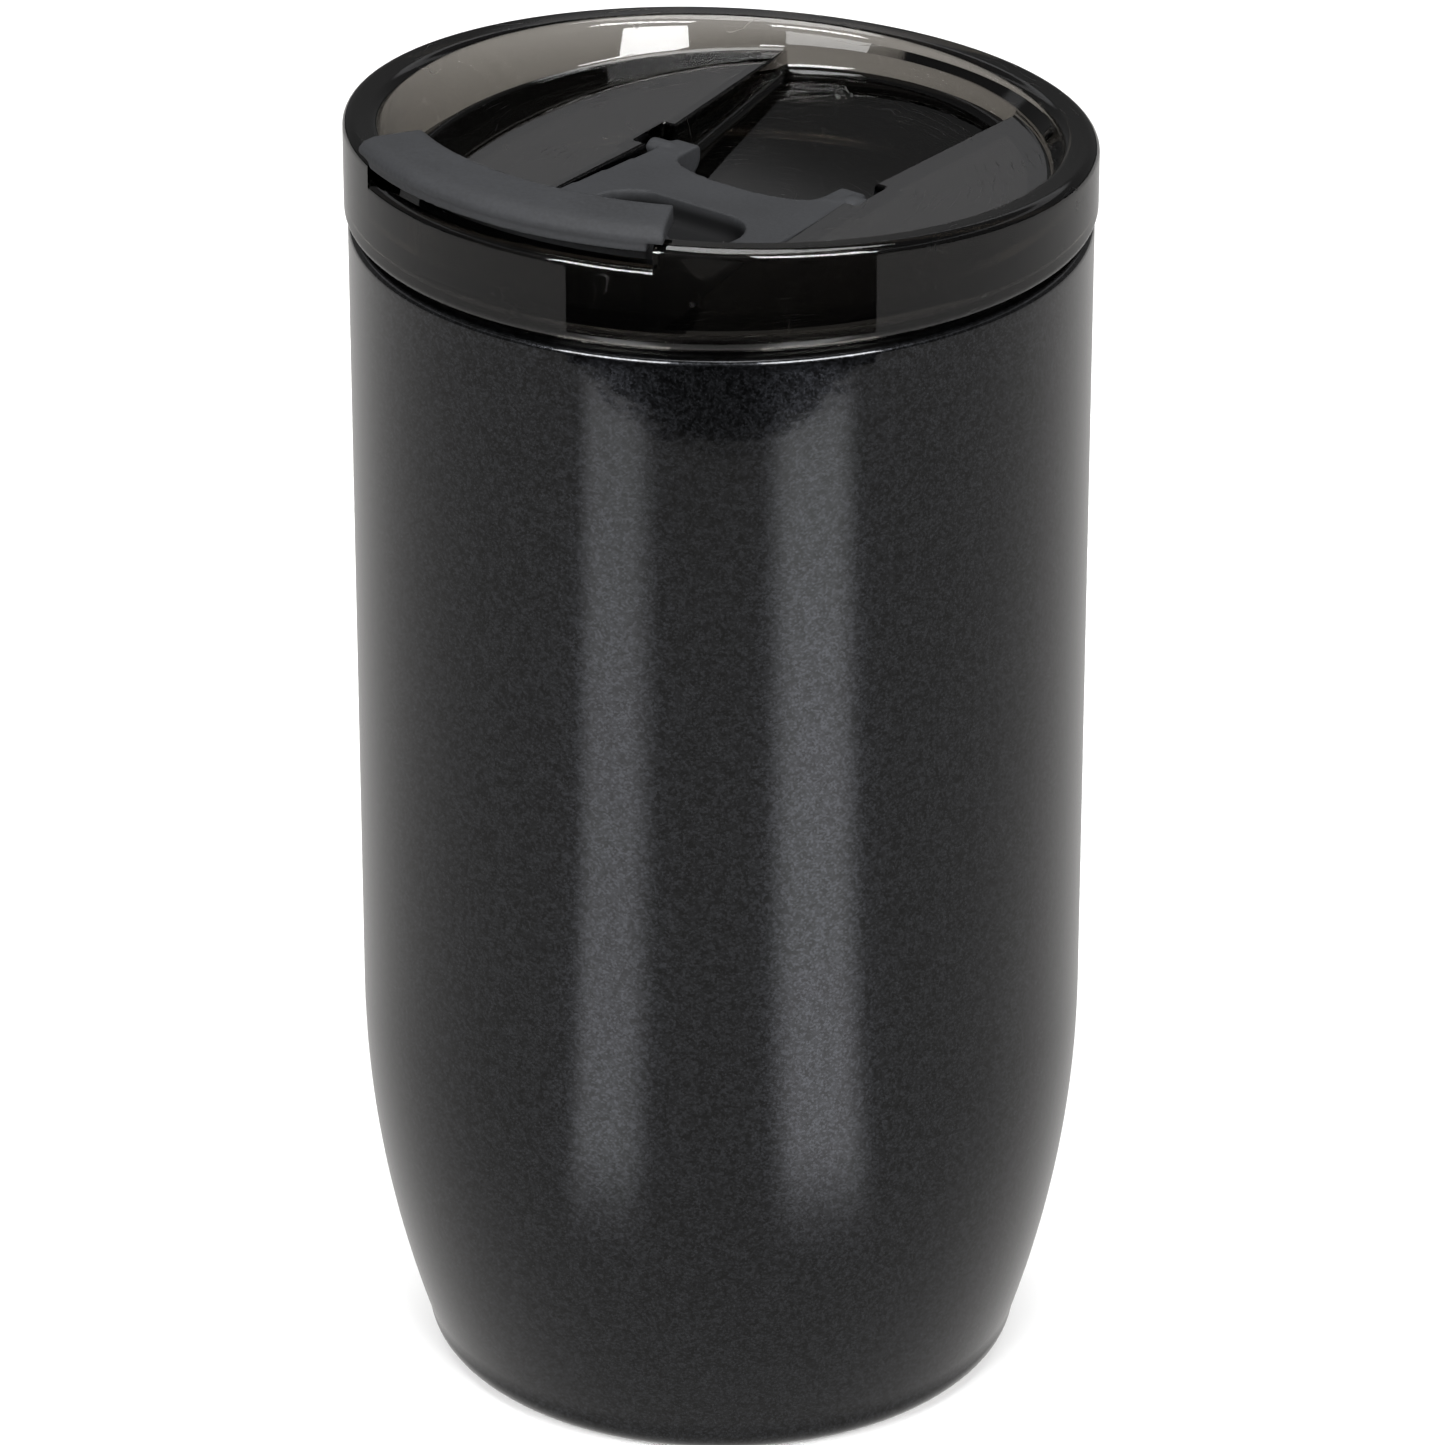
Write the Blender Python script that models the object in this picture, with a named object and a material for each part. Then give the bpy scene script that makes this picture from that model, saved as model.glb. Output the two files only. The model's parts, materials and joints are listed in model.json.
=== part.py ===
"""Vacuum tumbler with a clear flip-top lid, made piece by piece.

The tumbler stands on Z = 0 with its axis on Z. The spout looks towards -Y and the
lever's hinge axis runs along X. Sizes are in millimetres and become metres when a
mesh is finished.
"""

import math

import bmesh
import bpy

MM = 0.001
SEGMENTS = 60          # sides of every turned piece
GAP = 0.35             # space left between pieces that touch
CUTTER_MARGIN = 4.0    # how far a cutter runs past the surface it opens

# Outer shell
BODY_RADIUS = 43.1
SHELL_WALL = 0.8
SHOULDER_Z = 145.7     # top of the coated shell
SHOULDER_ROUND = 0.9
KNEE_Z = 47.0          # the wall is straight above this height
BASE_TAPER = 7.1       # how far the wall curves in between the knee and the foot
FOOT_FILLET = 3.5
CURVE_CROWDING = 1.15  # above 1 the curve's rings stand closer together near the foot
FOOT_WIDTH = 5.5       # ring that the tumbler stands on, fillet included

# Base disc with its evacuation dimple, and what is sealed behind it
BASE_DISC_WALL = 0.8
BASE_DISC_LAP = 1.6    # how far the disc laps over the foot's inner edge
DIMPLE_RADIUS = 6.0
DIMPLE_DEPTH = 1.6
EVACUATION_HOLE_RADIUS = 1.2
BEAD_THICKNESS = 1.0
BEAD_EDGE = 0.6        # the bead's thickness at its edge
GETTER_RADIUS = 6.0
GETTER_THICKNESS = 1.6
GETTER_OFFSET = 16.0

# Inner liner
VACUUM_SPACE = 1.9
LINER_WALL = 0.5
LINER_FLOOR_Z = 7.2
LINER_CORNER = 9.0
LIP_HEIGHT = 2.2       # bare steel drinking lip above the shoulder
LIP_CHAMFER = 0.15

# Lid body
LID_PROUD = 0.4        # how far the lid stands proud of the shell
LID_SEAM = 0.7         # open seam between the shoulder and the lid
SKIRT_HEIGHT = 10.5    # from the lid's lower edge to its rim, on the axis
LID_BOTTOM_ROUND = 1.8
RIM_TILT = 0.061       # the rim rises towards the spout, height per length
RIM_WIDTH = 4.3
RIM_ROUND = 1.3
RIM_CHAMFER = 0.39     # of the rim's two upper edges
RIM_FALL = 0.16        # the rim's crown is lower than its outer side by this much
WALL_DRAFT = 1.2       # how much the inner wall leans out towards the rim
DECK_RISE = 2.7        # top of the two flat decks above the lid's lower edge, on the axis
DECK_TILT = 0.071      # the decks fall towards the spout
DECK_THICKNESS = 2.0
LIP_CLEARANCE = 0.5    # space around the steel lip in the lid's groove
PLUG_CLEARANCE = 0.6   # between the plug's wide upper part and the liner
PLUG_STEP = 2.1        # from the wide upper part in to the gasket's seat
PLUG_NECK = 7.0        # height of the wide upper part below the lid's lower edge
PLUG_DEPTH = 17.4      # the whole plug below the lid's lower edge
PLUG_WALL = 1.8
PLUG_FOOT_HEIGHT = 1.4
PLUG_FOOT_LIP = 0.8
PLUG_FOOT_CHAMFER = 0.5

# Channel across the lid, narrowest at the hinge
CHANNEL_WAIST = 14.45
FRONT_FLARE = 0.061
REAR_FLARE = 0.089
CHANNEL_DEPTH = 5.4
CHANNEL_FLOOR = 2.0
CHANNEL_STEPS = 8      # points of each of the channel's curved ends
REAR_RISE = 0.1        # behind the hinge the floor rises more steeply by this slope
CHANNEL_WALL = 2.2
CHANNEL_END_RELIEF = 0.5   # the channel's ends bite this far into the rim's inner wall
CHANNEL_TOP_RELIEF = 0.3   # and this far above the decks
HINGE_Y = 7.1
HINGE_DROP = 2.2       # hinge axis below the deck
STUB_RADIUS = 1.5
STUB_LENGTH = 1.7
STUB_ROOT = 1.0        # how far a stub starts inside the lever's arm
SLOT_CLEARANCE = 0.4
SLOT_LEAD_IN = 0.9     # the slot widens by this much on each side towards the deck
SPOUT_SETBACK = 8.0    # from the recess wall in to the middle of the spout hole
SPOUT_HOLE_LENGTH = 18.0
SPOUT_HOLE_WIDTH = 6.4
VENT_SETBACK = 9.3     # from the hinge axis forward to the vent
VENT_RADIUS = 1.1
NOTCH_HALF_ANGLE = 28.3
NOTCH_DEPTH = 2.6

# Lever
LEVER_SIDE_CLEARANCE = 0.4
LEVER_FLOOR_CLEARANCE = 1.2
LEVER_DROP = 0.6       # flat part of the lever below the deck
LEVER_STATIONS = 12    # cross strips from the hinge to the spout hole
RAMP_SETBACK = 29.0    # from the hinge axis forward to the start of the rise
RAMP_INSET = 3.0       # from the recess wall in to the top of the rise
HUB_RADIUS = 2.4
HUB_CROWN = 0.1        # the hubs are flattened this far above the lever's top
ARM_WIDTH = 3.6
SCOOP_DEPTH = 5.2      # how far the crescent behind the plate reaches in front of the hinge
SCOOP_FULLNESS = 0.6   # below 1 squares the crescent's front edge
TAB_HALF_ANGLE = 30.0
TAB_INSET = 1.8        # how far the tab reaches in over the recess
TAB_PROUD = 0.7        # how far the tab stands proud of the lid
TAB_THICKNESS = 2.3
TAB_EDGE_DROP = 0.8
TAB_EDGE_ROUND = 0.6
TAB_SLOPE_START = 2.2  # the top starts to fall this far from the tab's outer edge
TAB_CHAMFER = 0.3
TAB_STEPS = 18
POCKET_HALF_WIDTH = 10.3
POCKET_SETBACK = 12.5  # from the hinge axis forward to the pocket
POCKET_WALL = 1.3      # between the pocket and the spout hole's edge
POCKET_CORNER = 5.0
POCKET_DEPTH = 3.2
SOCKET_HEIGHT = 8.0
SOCKET_END_OFFSET = 1.6    # the stopper's socket is this much shorter at each end than the hole
SOCKET_SIDE_OFFSET = 0.3

# Silicone pieces
GASKET_WALL = 0.7
GASKET_FINS = 4
FIN_THICKNESS = 0.8    # where a fin leaves the sleeve
FIN_TIP = 0.4
FIN_CLEARANCE = 0.35
STOPPER_CLEARANCE = 0.55
STOPPER_TAPER = 0.5
STOPPER_FLANGE = 1.3
STOPPER_REACH = 0.8    # the plug's depth as a share of the channel's floor
VENT_HEAD_RADIUS = 2.6
VENT_STEM_RADIUS = 1.2
VENT_STEM_HEIGHT = 1.8

# What follows from those sizes
BASE_RADIUS = BODY_RADIUS - BASE_TAPER
FOOT_INNER_RADIUS = BASE_RADIUS - FOOT_WIDTH
SHELL_INNER_RADIUS = BODY_RADIUS - SHELL_WALL
LINER_OUTER_RADIUS = SHELL_INNER_RADIUS - VACUUM_SPACE
LINER_RADIUS = LINER_OUTER_RADIUS - LINER_WALL
LIP_Z = SHOULDER_Z + LIP_HEIGHT
LID_RADIUS = BODY_RADIUS + LID_PROUD
LID_BOTTOM_Z = SHOULDER_Z + LID_SEAM
RIM_Z = LID_BOTTOM_Z + SKIRT_HEIGHT
DECK_Z = LID_BOTTOM_Z + DECK_RISE
WALL_BASE_RADIUS = LID_RADIUS - RIM_WIDTH - WALL_DRAFT
PLUG_TOP_RADIUS = LINER_RADIUS - PLUG_CLEARANCE
PLUG_TOP_Z = LID_BOTTOM_Z - PLUG_NECK
PLUG_RADIUS = PLUG_TOP_RADIUS - PLUG_STEP
PLUG_FOOT_Z = LID_BOTTOM_Z - PLUG_DEPTH
PLUG_BORE = PLUG_RADIUS - PLUG_WALL
CHANNEL_FLOOR_Z = DECK_Z - CHANNEL_DEPTH
HINGE_Z = DECK_Z + DECK_TILT * HINGE_Y - HINGE_DROP
SLOT_HALF = STUB_RADIUS + SLOT_CLEARANCE
SPOUT_HOLE_Y = SPOUT_SETBACK - WALL_BASE_RADIUS
VENT_Y = HINGE_Y - VENT_SETBACK
LEVER_TOP_Z = DECK_Z - LEVER_DROP
RAMP_START_Y = HINGE_Y - RAMP_SETBACK
RAMP_END_Y = RAMP_INSET - WALL_BASE_RADIUS
TAB_INNER_RADIUS = WALL_BASE_RADIUS - TAB_INSET
POCKET_REAR_Y = HINGE_Y - POCKET_SETBACK
POCKET_FRONT_Y = SPOUT_HOLE_Y + SPOUT_HOLE_WIDTH / 2 + POCKET_WALL
POCKET_FLOOR_Z = LEVER_TOP_Z - POCKET_DEPTH
SOCKET_LENGTH = SPOUT_HOLE_LENGTH - 2 * SOCKET_END_OFFSET
SOCKET_WIDTH = SPOUT_HOLE_WIDTH - 2 * SOCKET_SIDE_OFFSET


def material(name, colour, roughness, metallic=0.0, alpha=1.0):
    """A plain finish; the name says which piece wears it."""
    finish = bpy.data.materials.new(name)
    finish.use_nodes = True
    shader = finish.node_tree.nodes["Principled BSDF"]
    shader.inputs["Base Color"].default_value = (*colour, 1.0)
    shader.inputs["Roughness"].default_value = roughness
    shader.inputs["Metallic"].default_value = metallic
    shader.inputs["Alpha"].default_value = alpha
    finish.diffuse_color = (*colour, alpha)
    return finish


def make_object(name, bm, finish=None, origin=(0.0, 0.0, 0.0)):
    """Turn a mesh in millimetres into an object in metres with its origin at origin."""
    bmesh.ops.remove_doubles(bm, verts=bm.verts, dist=1e-4)
    bmesh.ops.recalc_face_normals(bm, faces=bm.faces)
    for vert in bm.verts:
        vert.co = [(value - start) * MM for value, start in zip(vert.co, origin)]
    mesh = bpy.data.meshes.new(name)
    bm.to_mesh(mesh)
    bm.free()
    mesh.shade_smooth()
    mesh.set_sharp_from_angle(angle=math.radians(35))
    obj = bpy.data.objects.new(name, mesh)
    obj.location = [value * MM for value in origin]
    bpy.context.collection.objects.link(obj)
    if finish:
        mesh.materials.append(finish)
    else:
        obj.hide_render = True
        obj.display_type = "WIRE"
    return obj


def turn(profile, centre=(0.0, 0.0)):
    """Spin a closed outline of (radius, z) or (radius, z, tilt) about Z.

    A ring with a tilt lies in the plane z + tilt * y. Radius 0 gives a pole.
    """
    bm = bmesh.new()
    rings = []
    for radius, z, *tilt in profile:
        slope = tilt[0] if tilt else 0.0
        if radius == 0.0:
            rings.append([bm.verts.new((centre[0], centre[1], z))])
            continue
        ring = []
        for i in range(SEGMENTS):
            angle = 2 * math.pi * i / SEGMENTS
            x = radius * math.cos(angle)
            y = radius * math.sin(angle)
            ring.append(bm.verts.new((centre[0] + x, centre[1] + y, z + slope * y)))
        rings.append(ring)
    for ring, following in zip(rings, rings[1:] + rings[:1]):
        if len(ring) == 1 and len(following) == 1:
            continue
        for i in range(SEGMENTS):
            j = (i + 1) % SEGMENTS
            corners = [ring[i % len(ring)], ring[j % len(ring)]]
            corners += [following[j % len(following)], following[i % len(following)]]
            bm.faces.new(list(dict.fromkeys(corners)))
    return bm


def loft(lower, upper, low, high, fold=None):
    """Join a lower plan on the surface low(x, y) to an upper plan on high(x, y).

    Where the lower surface changes slope, fold gives the two points the crease joins.
    """
    bm = bmesh.new()
    under = [bm.verts.new((x, y, low(x, y))) for x, y in lower]
    over = [bm.verts.new((x, y, high(x, y))) for x, y in upper]
    base = bm.faces.new(under)
    if fold:
        bmesh.utils.face_split(base, under[fold[0]], under[fold[1]])
    bm.faces.new(over)
    for i in range(len(lower)):
        j = (i + 1) % len(lower)
        bm.faces.new((under[i], under[j], over[j], over[i]))
    return bm


def prism(outline, low, high, fold=None):
    """Stand a plan outline between two surfaces."""
    return loft(outline, outline, low, high, fold)


def arc(centre, radius, start, end, steps):
    """Points on an arc, angles in degrees."""
    points = []
    for i in range(steps + 1):
        angle = math.radians(start + (end - start) * i / steps)
        points.append((centre[0] + radius * math.cos(angle), centre[1] + radius * math.sin(angle)))
    return points


def level(z, tilt=0.0):
    """A flat surface through z on the axis, rising by tilt along Y."""
    return lambda x, y: z + tilt * y


def combine(obj, other, operation):
    """Add a Boolean of another object; what is merged in is hidden like a cutter."""
    modifier = obj.modifiers.new(other.name, "BOOLEAN")
    modifier.operation = operation
    modifier.object = other
    modifier.solver = "EXACT"
    other.hide_render = True
    other.display_type = "WIRE"


def body_radius(z):
    """Outer radius of the shell: straight, then curving in to the foot."""
    if z >= KNEE_Z:
        return BODY_RADIUS
    u = (KNEE_Z - z) / (KNEE_Z - FOOT_FILLET)
    return BASE_RADIUS + (BODY_RADIUS - BASE_RADIUS) * (1 - u**2)


def curve_heights(low, high, count):
    """Heights from high down to low, closer together near the bottom of the curve."""
    return [low + (high - low) * (1 - (i / count)) ** CURVE_CROWDING for i in range(count + 1)]


def half_channel(y):
    """Half the channel's width at y."""
    if y < HINGE_Y:
        return CHANNEL_WAIST + FRONT_FLARE * (HINGE_Y - y)
    return CHANNEL_WAIST + REAR_FLARE * (y - HINGE_Y)


def channel_outline(grow, end_radius):
    """Plan of the channel grown sideways by grow, its ends on a circle of end_radius."""
    corners = []
    for end in (-1, 1):
        y = end * end_radius
        for _ in range(20):
            y = end * math.sqrt(end_radius**2 - (half_channel(y) + grow) ** 2)
        corners.append((half_channel(y) + grow, y))
    (front_x, front_y), (rear_x, rear_y) = corners
    front = math.degrees(math.atan2(front_x, -front_y))
    rear = math.degrees(math.atan2(rear_x, rear_y))
    outline = arc((0, 0), end_radius, -90 - front, -90 + front, CHANNEL_STEPS)
    outline.append((CHANNEL_WAIST + grow, HINGE_Y))
    outline += arc((0, 0), end_radius, 90 - rear, 90 + rear, CHANNEL_STEPS)
    outline.append((-CHANNEL_WAIST - grow, HINGE_Y))
    return outline


def channel_bed(z):
    """Surface through z on the axis that follows the decks and steepens behind the hinge."""
    return lambda x, y: z + DECK_TILT * y + REAR_RISE * max(y - HINGE_Y, 0.0)


def oblong(length, width, y, steps=6):
    """Plan of a slot along X with round ends."""
    reach = (length - width) / 2
    return arc((reach, y), width / 2, -90, 90, steps) + arc((-reach, y), width / 2, 90, 270, steps)


def box_plan(near, far, y, half):
    """Plan of a box between two X values, reaching half each way from y."""
    return [(near, y - half), (far, y - half), (far, y + half), (near, y + half)]


def make_shell():
    coat = material("black_powder_coat", (0.012, 0.014, 0.018), 0.38, 0.35)
    neck = LINER_OUTER_RADIUS + GAP
    bend = (BODY_RADIUS - SHOULDER_ROUND, SHOULDER_Z - SHOULDER_ROUND)
    outer = arc(bend, SHOULDER_ROUND, 90, 0, 3)
    curve = curve_heights(FOOT_FILLET, KNEE_Z, 7)
    outer += [(body_radius(z), z) for z in curve]
    foot_centre = (BASE_RADIUS - FOOT_FILLET, FOOT_FILLET)
    outer += arc(foot_centre, FOOT_FILLET, 0, -90, 4)[1:]
    outer.append((FOOT_INNER_RADIUS, 0.0))
    inner = [(FOOT_INNER_RADIUS, SHELL_WALL), (BASE_RADIUS - FOOT_FILLET, SHELL_WALL)]
    inner += arc(foot_centre, FOOT_FILLET - SHELL_WALL, -90, 0, 3)[1:]
    inner += [(body_radius(z) - SHELL_WALL, z) for z in reversed(curve[:-1])]
    inner.append((SHELL_INNER_RADIUS, SHOULDER_Z - SHELL_WALL))
    inner.append((neck, SHOULDER_Z - SHELL_WALL))
    make_object("outer_shell", turn([(neck, SHOULDER_Z)] + outer + inner), coat)


def make_base():
    steel = material("base_steel", (0.50, 0.50, 0.51), 0.35, 1.0)
    low = SHELL_WALL + GAP
    high = low + BASE_DISC_WALL
    edge = FOOT_INNER_RADIUS + BASE_DISC_LAP
    wall = DIMPLE_RADIUS + BASE_DISC_WALL
    disc = [(edge, low), (DIMPLE_RADIUS, low), (DIMPLE_RADIUS, low + DIMPLE_DEPTH)]
    disc += [(EVACUATION_HOLE_RADIUS, low + DIMPLE_DEPTH), (EVACUATION_HOLE_RADIUS, high + DIMPLE_DEPTH)]
    disc += [(wall, high + DIMPLE_DEPTH), (wall, high), (edge, high)]
    make_object("base_disc", turn(disc), steel)

    glass = material("seal_glass", (0.25, 0.26, 0.27), 0.25)
    top = low + DIMPLE_DEPTH - GAP
    radius = DIMPLE_RADIUS - GAP
    bead = [(0.0, top - BEAD_THICKNESS), (radius, top - BEAD_EDGE), (radius, top), (0.0, top)]
    make_object("seal_bead", turn(bead), glass)

    tablet = material("getter_alloy", (0.35, 0.34, 0.33), 0.6, 0.8)
    rest = high + GAP
    outline = [(0.0, rest), (GETTER_RADIUS, rest), (GETTER_RADIUS, rest + GETTER_THICKNESS)]
    outline += [(0.0, rest + GETTER_THICKNESS)]
    make_object("getter", turn(outline, (GETTER_OFFSET, 0.0)), tablet)


def make_liner():
    steel = material("liner_steel", (0.56, 0.55, 0.54), 0.28, 1.0)
    inset = BODY_RADIUS - LINER_RADIUS
    corner_z = LINER_FLOOR_Z + LINER_CORNER
    corner_centre = (body_radius(corner_z) - inset - LINER_CORNER, corner_z)
    curve = curve_heights(corner_z, KNEE_Z, 5)
    inner = [(LINER_RADIUS, LIP_Z - LIP_CHAMFER), *((body_radius(z) - inset, z) for z in curve)]
    inner += arc(corner_centre, LINER_CORNER, 0, -90, 4)[1:]
    inner.append((0.0, LINER_FLOOR_Z))
    outer = [(0.0, LINER_FLOOR_Z - LINER_WALL)]
    outer += arc(corner_centre, LINER_CORNER + LINER_WALL, -90, 0, 4)
    outer += [(body_radius(z) - inset + LINER_WALL, z) for z in reversed(curve[:-1])]
    outer.append((LINER_OUTER_RADIUS, LIP_Z - LIP_CHAMFER))
    outer.append((LINER_OUTER_RADIUS - LIP_CHAMFER, LIP_Z))
    outer.append((LINER_RADIUS + LIP_CHAMFER, LIP_Z))
    make_object("inner_liner", turn(inner + outer), steel)


def lid_profile():
    """Half section of the lid: decks, rim, groove over the steel lip and plug."""
    rim = -RIM_TILT
    inner_top = LID_RADIUS - RIM_WIDTH
    section = [
        (0.0, DECK_Z, DECK_TILT),
        (WALL_BASE_RADIUS, DECK_Z, DECK_TILT),
        (inner_top, RIM_Z - RIM_ROUND, rim),
        (inner_top + RIM_CHAMFER, RIM_Z - RIM_CHAMFER, rim),
        (inner_top + RIM_ROUND, RIM_Z - RIM_FALL, rim),
        (LID_RADIUS - RIM_ROUND, RIM_Z, rim),
        (LID_RADIUS - RIM_CHAMFER, RIM_Z - RIM_CHAMFER, rim),
        (LID_RADIUS, RIM_Z - RIM_ROUND, rim),
    ]
    bottom_centre = (LID_RADIUS - LID_BOTTOM_ROUND, LID_BOTTOM_Z + LID_BOTTOM_ROUND)
    section += arc(bottom_centre, LID_BOTTOM_ROUND, 0, -90, 4)
    groove_outer = LINER_OUTER_RADIUS + LIP_CLEARANCE
    groove_top = LIP_Z + GAP
    foot_top = PLUG_FOOT_Z + PLUG_FOOT_HEIGHT
    foot_radius = PLUG_RADIUS + PLUG_FOOT_LIP
    section += [
        (groove_outer, LID_BOTTOM_Z),
        (groove_outer, groove_top),
        (PLUG_TOP_RADIUS, groove_top),
        (PLUG_TOP_RADIUS, PLUG_TOP_Z),
        (PLUG_RADIUS, PLUG_TOP_Z),
        (PLUG_RADIUS, foot_top),
        (foot_radius, foot_top),
        (foot_radius, PLUG_FOOT_Z + PLUG_FOOT_CHAMFER),
        (foot_radius - PLUG_FOOT_CHAMFER, PLUG_FOOT_Z),
        (PLUG_BORE, PLUG_FOOT_Z),
        (PLUG_BORE, DECK_Z - DECK_THICKNESS, DECK_TILT),
        (0.0, DECK_Z - DECK_THICKNESS, DECK_TILT),
    ]
    return section


def make_lid():
    clear = material("smoke_clear_plastic", (0.10, 0.10, 0.11), 0.06, 0.0, 0.45)
    lid = make_object("lid_body", turn(lid_profile()), clear)
    crease = (CHANNEL_STEPS + 1, 2 * CHANNEL_STEPS + 3)
    tray_low = channel_bed(CHANNEL_FLOOR_Z - CHANNEL_FLOOR)
    inside_deck = level(DECK_Z - DECK_THICKNESS / 2, DECK_TILT)
    tray_plan = channel_outline(CHANNEL_WALL, PLUG_BORE + PLUG_WALL / 2)
    tray = make_object("lid_tray", prism(tray_plan, tray_low, inside_deck, crease))
    combine(lid, tray, "UNION")

    slot_reach = STUB_LENGTH + GAP
    for side, label in ((-1, "left"), (1, "right")):
        near = side * (CHANNEL_WAIST + CHANNEL_WALL / 2)
        far = side * (CHANNEL_WAIST + slot_reach + CHANNEL_WALL)
        plan = box_plan(near, far, HINGE_Y, SLOT_HALF + SLOT_LEAD_IN + CHANNEL_WALL)
        boss_low = level(HINGE_Z - SLOT_HALF - CHANNEL_WALL)
        boss = make_object(f"boss_{label}", prism(plan, boss_low, inside_deck))
        combine(lid, boss, "UNION")

    above_deck = level(DECK_Z + CHANNEL_TOP_RELIEF, DECK_TILT)
    channel_plan = channel_outline(0.0, WALL_BASE_RADIUS + CHANNEL_END_RELIEF)
    channel_cut = prism(channel_plan, channel_bed(CHANNEL_FLOOR_Z), above_deck, crease)
    channel = make_object("channel_cutter", channel_cut)
    combine(lid, channel, "DIFFERENCE")

    for side, label in ((-1, "left"), (1, "right")):
        near = side * (CHANNEL_WAIST - STUB_ROOT)
        far = side * (CHANNEL_WAIST + slot_reach)
        lower = box_plan(near, far, HINGE_Y, SLOT_HALF)
        upper = box_plan(near, far, HINGE_Y, SLOT_HALF + SLOT_LEAD_IN)
        cut = loft(lower, upper, level(HINGE_Z - SLOT_HALF), above_deck)
        slot = make_object(f"slot_{label}_cutter", cut)
        combine(lid, slot, "DIFFERENCE")

    below = level(CHANNEL_FLOOR_Z - CHANNEL_FLOOR - CUTTER_MARGIN)
    hole_plan = oblong(SPOUT_HOLE_LENGTH, SPOUT_HOLE_WIDTH, SPOUT_HOLE_Y)
    spout = make_object("spout_hole_cutter", prism(hole_plan, below, level(DECK_Z)))
    combine(lid, spout, "DIFFERENCE")
    vent_plan = arc((0.0, VENT_Y), VENT_RADIUS, 0, 330, 11)
    vent = make_object("vent_hole_cutter", prism(vent_plan, below, level(DECK_Z)))
    combine(lid, vent, "DIFFERENCE")

    first = -90 - NOTCH_HALF_ANGLE
    last = -90 + NOTCH_HALF_ANGLE
    notch = arc((0, 0), LID_RADIUS + CUTTER_MARGIN, first, last, 12)
    notch += arc((0, 0), WALL_BASE_RADIUS - CUTTER_MARGIN, last, first, 12)
    notch_floor = level(RIM_Z - NOTCH_DEPTH, -RIM_TILT)
    above_rim = level(RIM_Z + RIM_TILT * LID_RADIUS + CUTTER_MARGIN)
    cutter = make_object("notch_cutter", prism(notch, notch_floor, above_rim))
    combine(lid, cutter, "DIFFERENCE")


def make_gasket():
    rubber = material("gasket_silicone", (0.03, 0.03, 0.035), 0.55)
    inner = PLUG_RADIUS + GAP
    root = inner + GASKET_WALL
    tip = LINER_RADIUS - FIN_CLEARANCE
    low = PLUG_FOOT_Z + PLUG_FOOT_HEIGHT + GAP
    high = PLUG_TOP_Z - GAP
    pitch = (high - low - FIN_THICKNESS) / (GASKET_FINS - 1)
    section = [(inner, low)]
    for i in range(GASKET_FINS):
        z = low + i * pitch
        section += [(root, z), (tip, z + FIN_THICKNESS - FIN_TIP)]
        section += [(tip, z + FIN_THICKNESS), (root, z + FIN_THICKNESS)]
    section.append((inner, high))
    make_object("lid_gasket", turn(section), rubber)


def ramp_z(y):
    """Top of the lever: level near the hinge, then a smooth rise to the tab."""
    t = min(max((RAMP_START_Y - y) / (RAMP_START_Y - RAMP_END_Y), 0.0), 1.0)
    top = RIM_Z - RIM_TILT * RAMP_END_Y + GAP + TAB_THICKNESS / 2
    return LEVER_TOP_Z + (top - LEVER_TOP_Z) * (t * t * (3 - 2 * t))


def lever_block(under):
    """The lever's plate and ramp, as cross strips that follow the channel's sides."""
    front_radius = WALL_BASE_RADIUS - LEVER_SIDE_CLEARANCE
    pitch = (HINGE_Y - SPOUT_HOLE_Y) / LEVER_STATIONS
    stations = [HINGE_Y - i * pitch for i in range(LEVER_STATIONS + 1)]
    rows = [(half_channel(y) - LEVER_SIDE_CLEARANCE, y) for y in stations]
    y = -front_radius
    for _ in range(20):
        width = half_channel(y) - LEVER_SIDE_CLEARANCE
        y = -math.sqrt(front_radius**2 - width**2)
    edge = math.degrees(math.atan2(width, -y))
    for step in (1.0, 0.72, 0.45, 0.2):
        angle = math.radians(edge * step)
        rows.append((front_radius * math.sin(angle), -front_radius * math.cos(angle)))
    bm = bmesh.new()
    grid = []
    for half, y in rows:
        corners = [(-half, ramp_z(y)), (half, ramp_z(y)), (half, under(half, y)), (-half, under(half, y))]
        grid.append([bm.verts.new((x, y, z)) for x, z in corners])
    for near, far in zip(grid, grid[1:]):
        for i in range(4):
            j = (i + 1) % 4
            bm.faces.new((near[i], near[j], far[j], far[i]))
    bm.faces.new(grid[0])
    bm.faces.new(grid[-1])
    return bm


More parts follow.
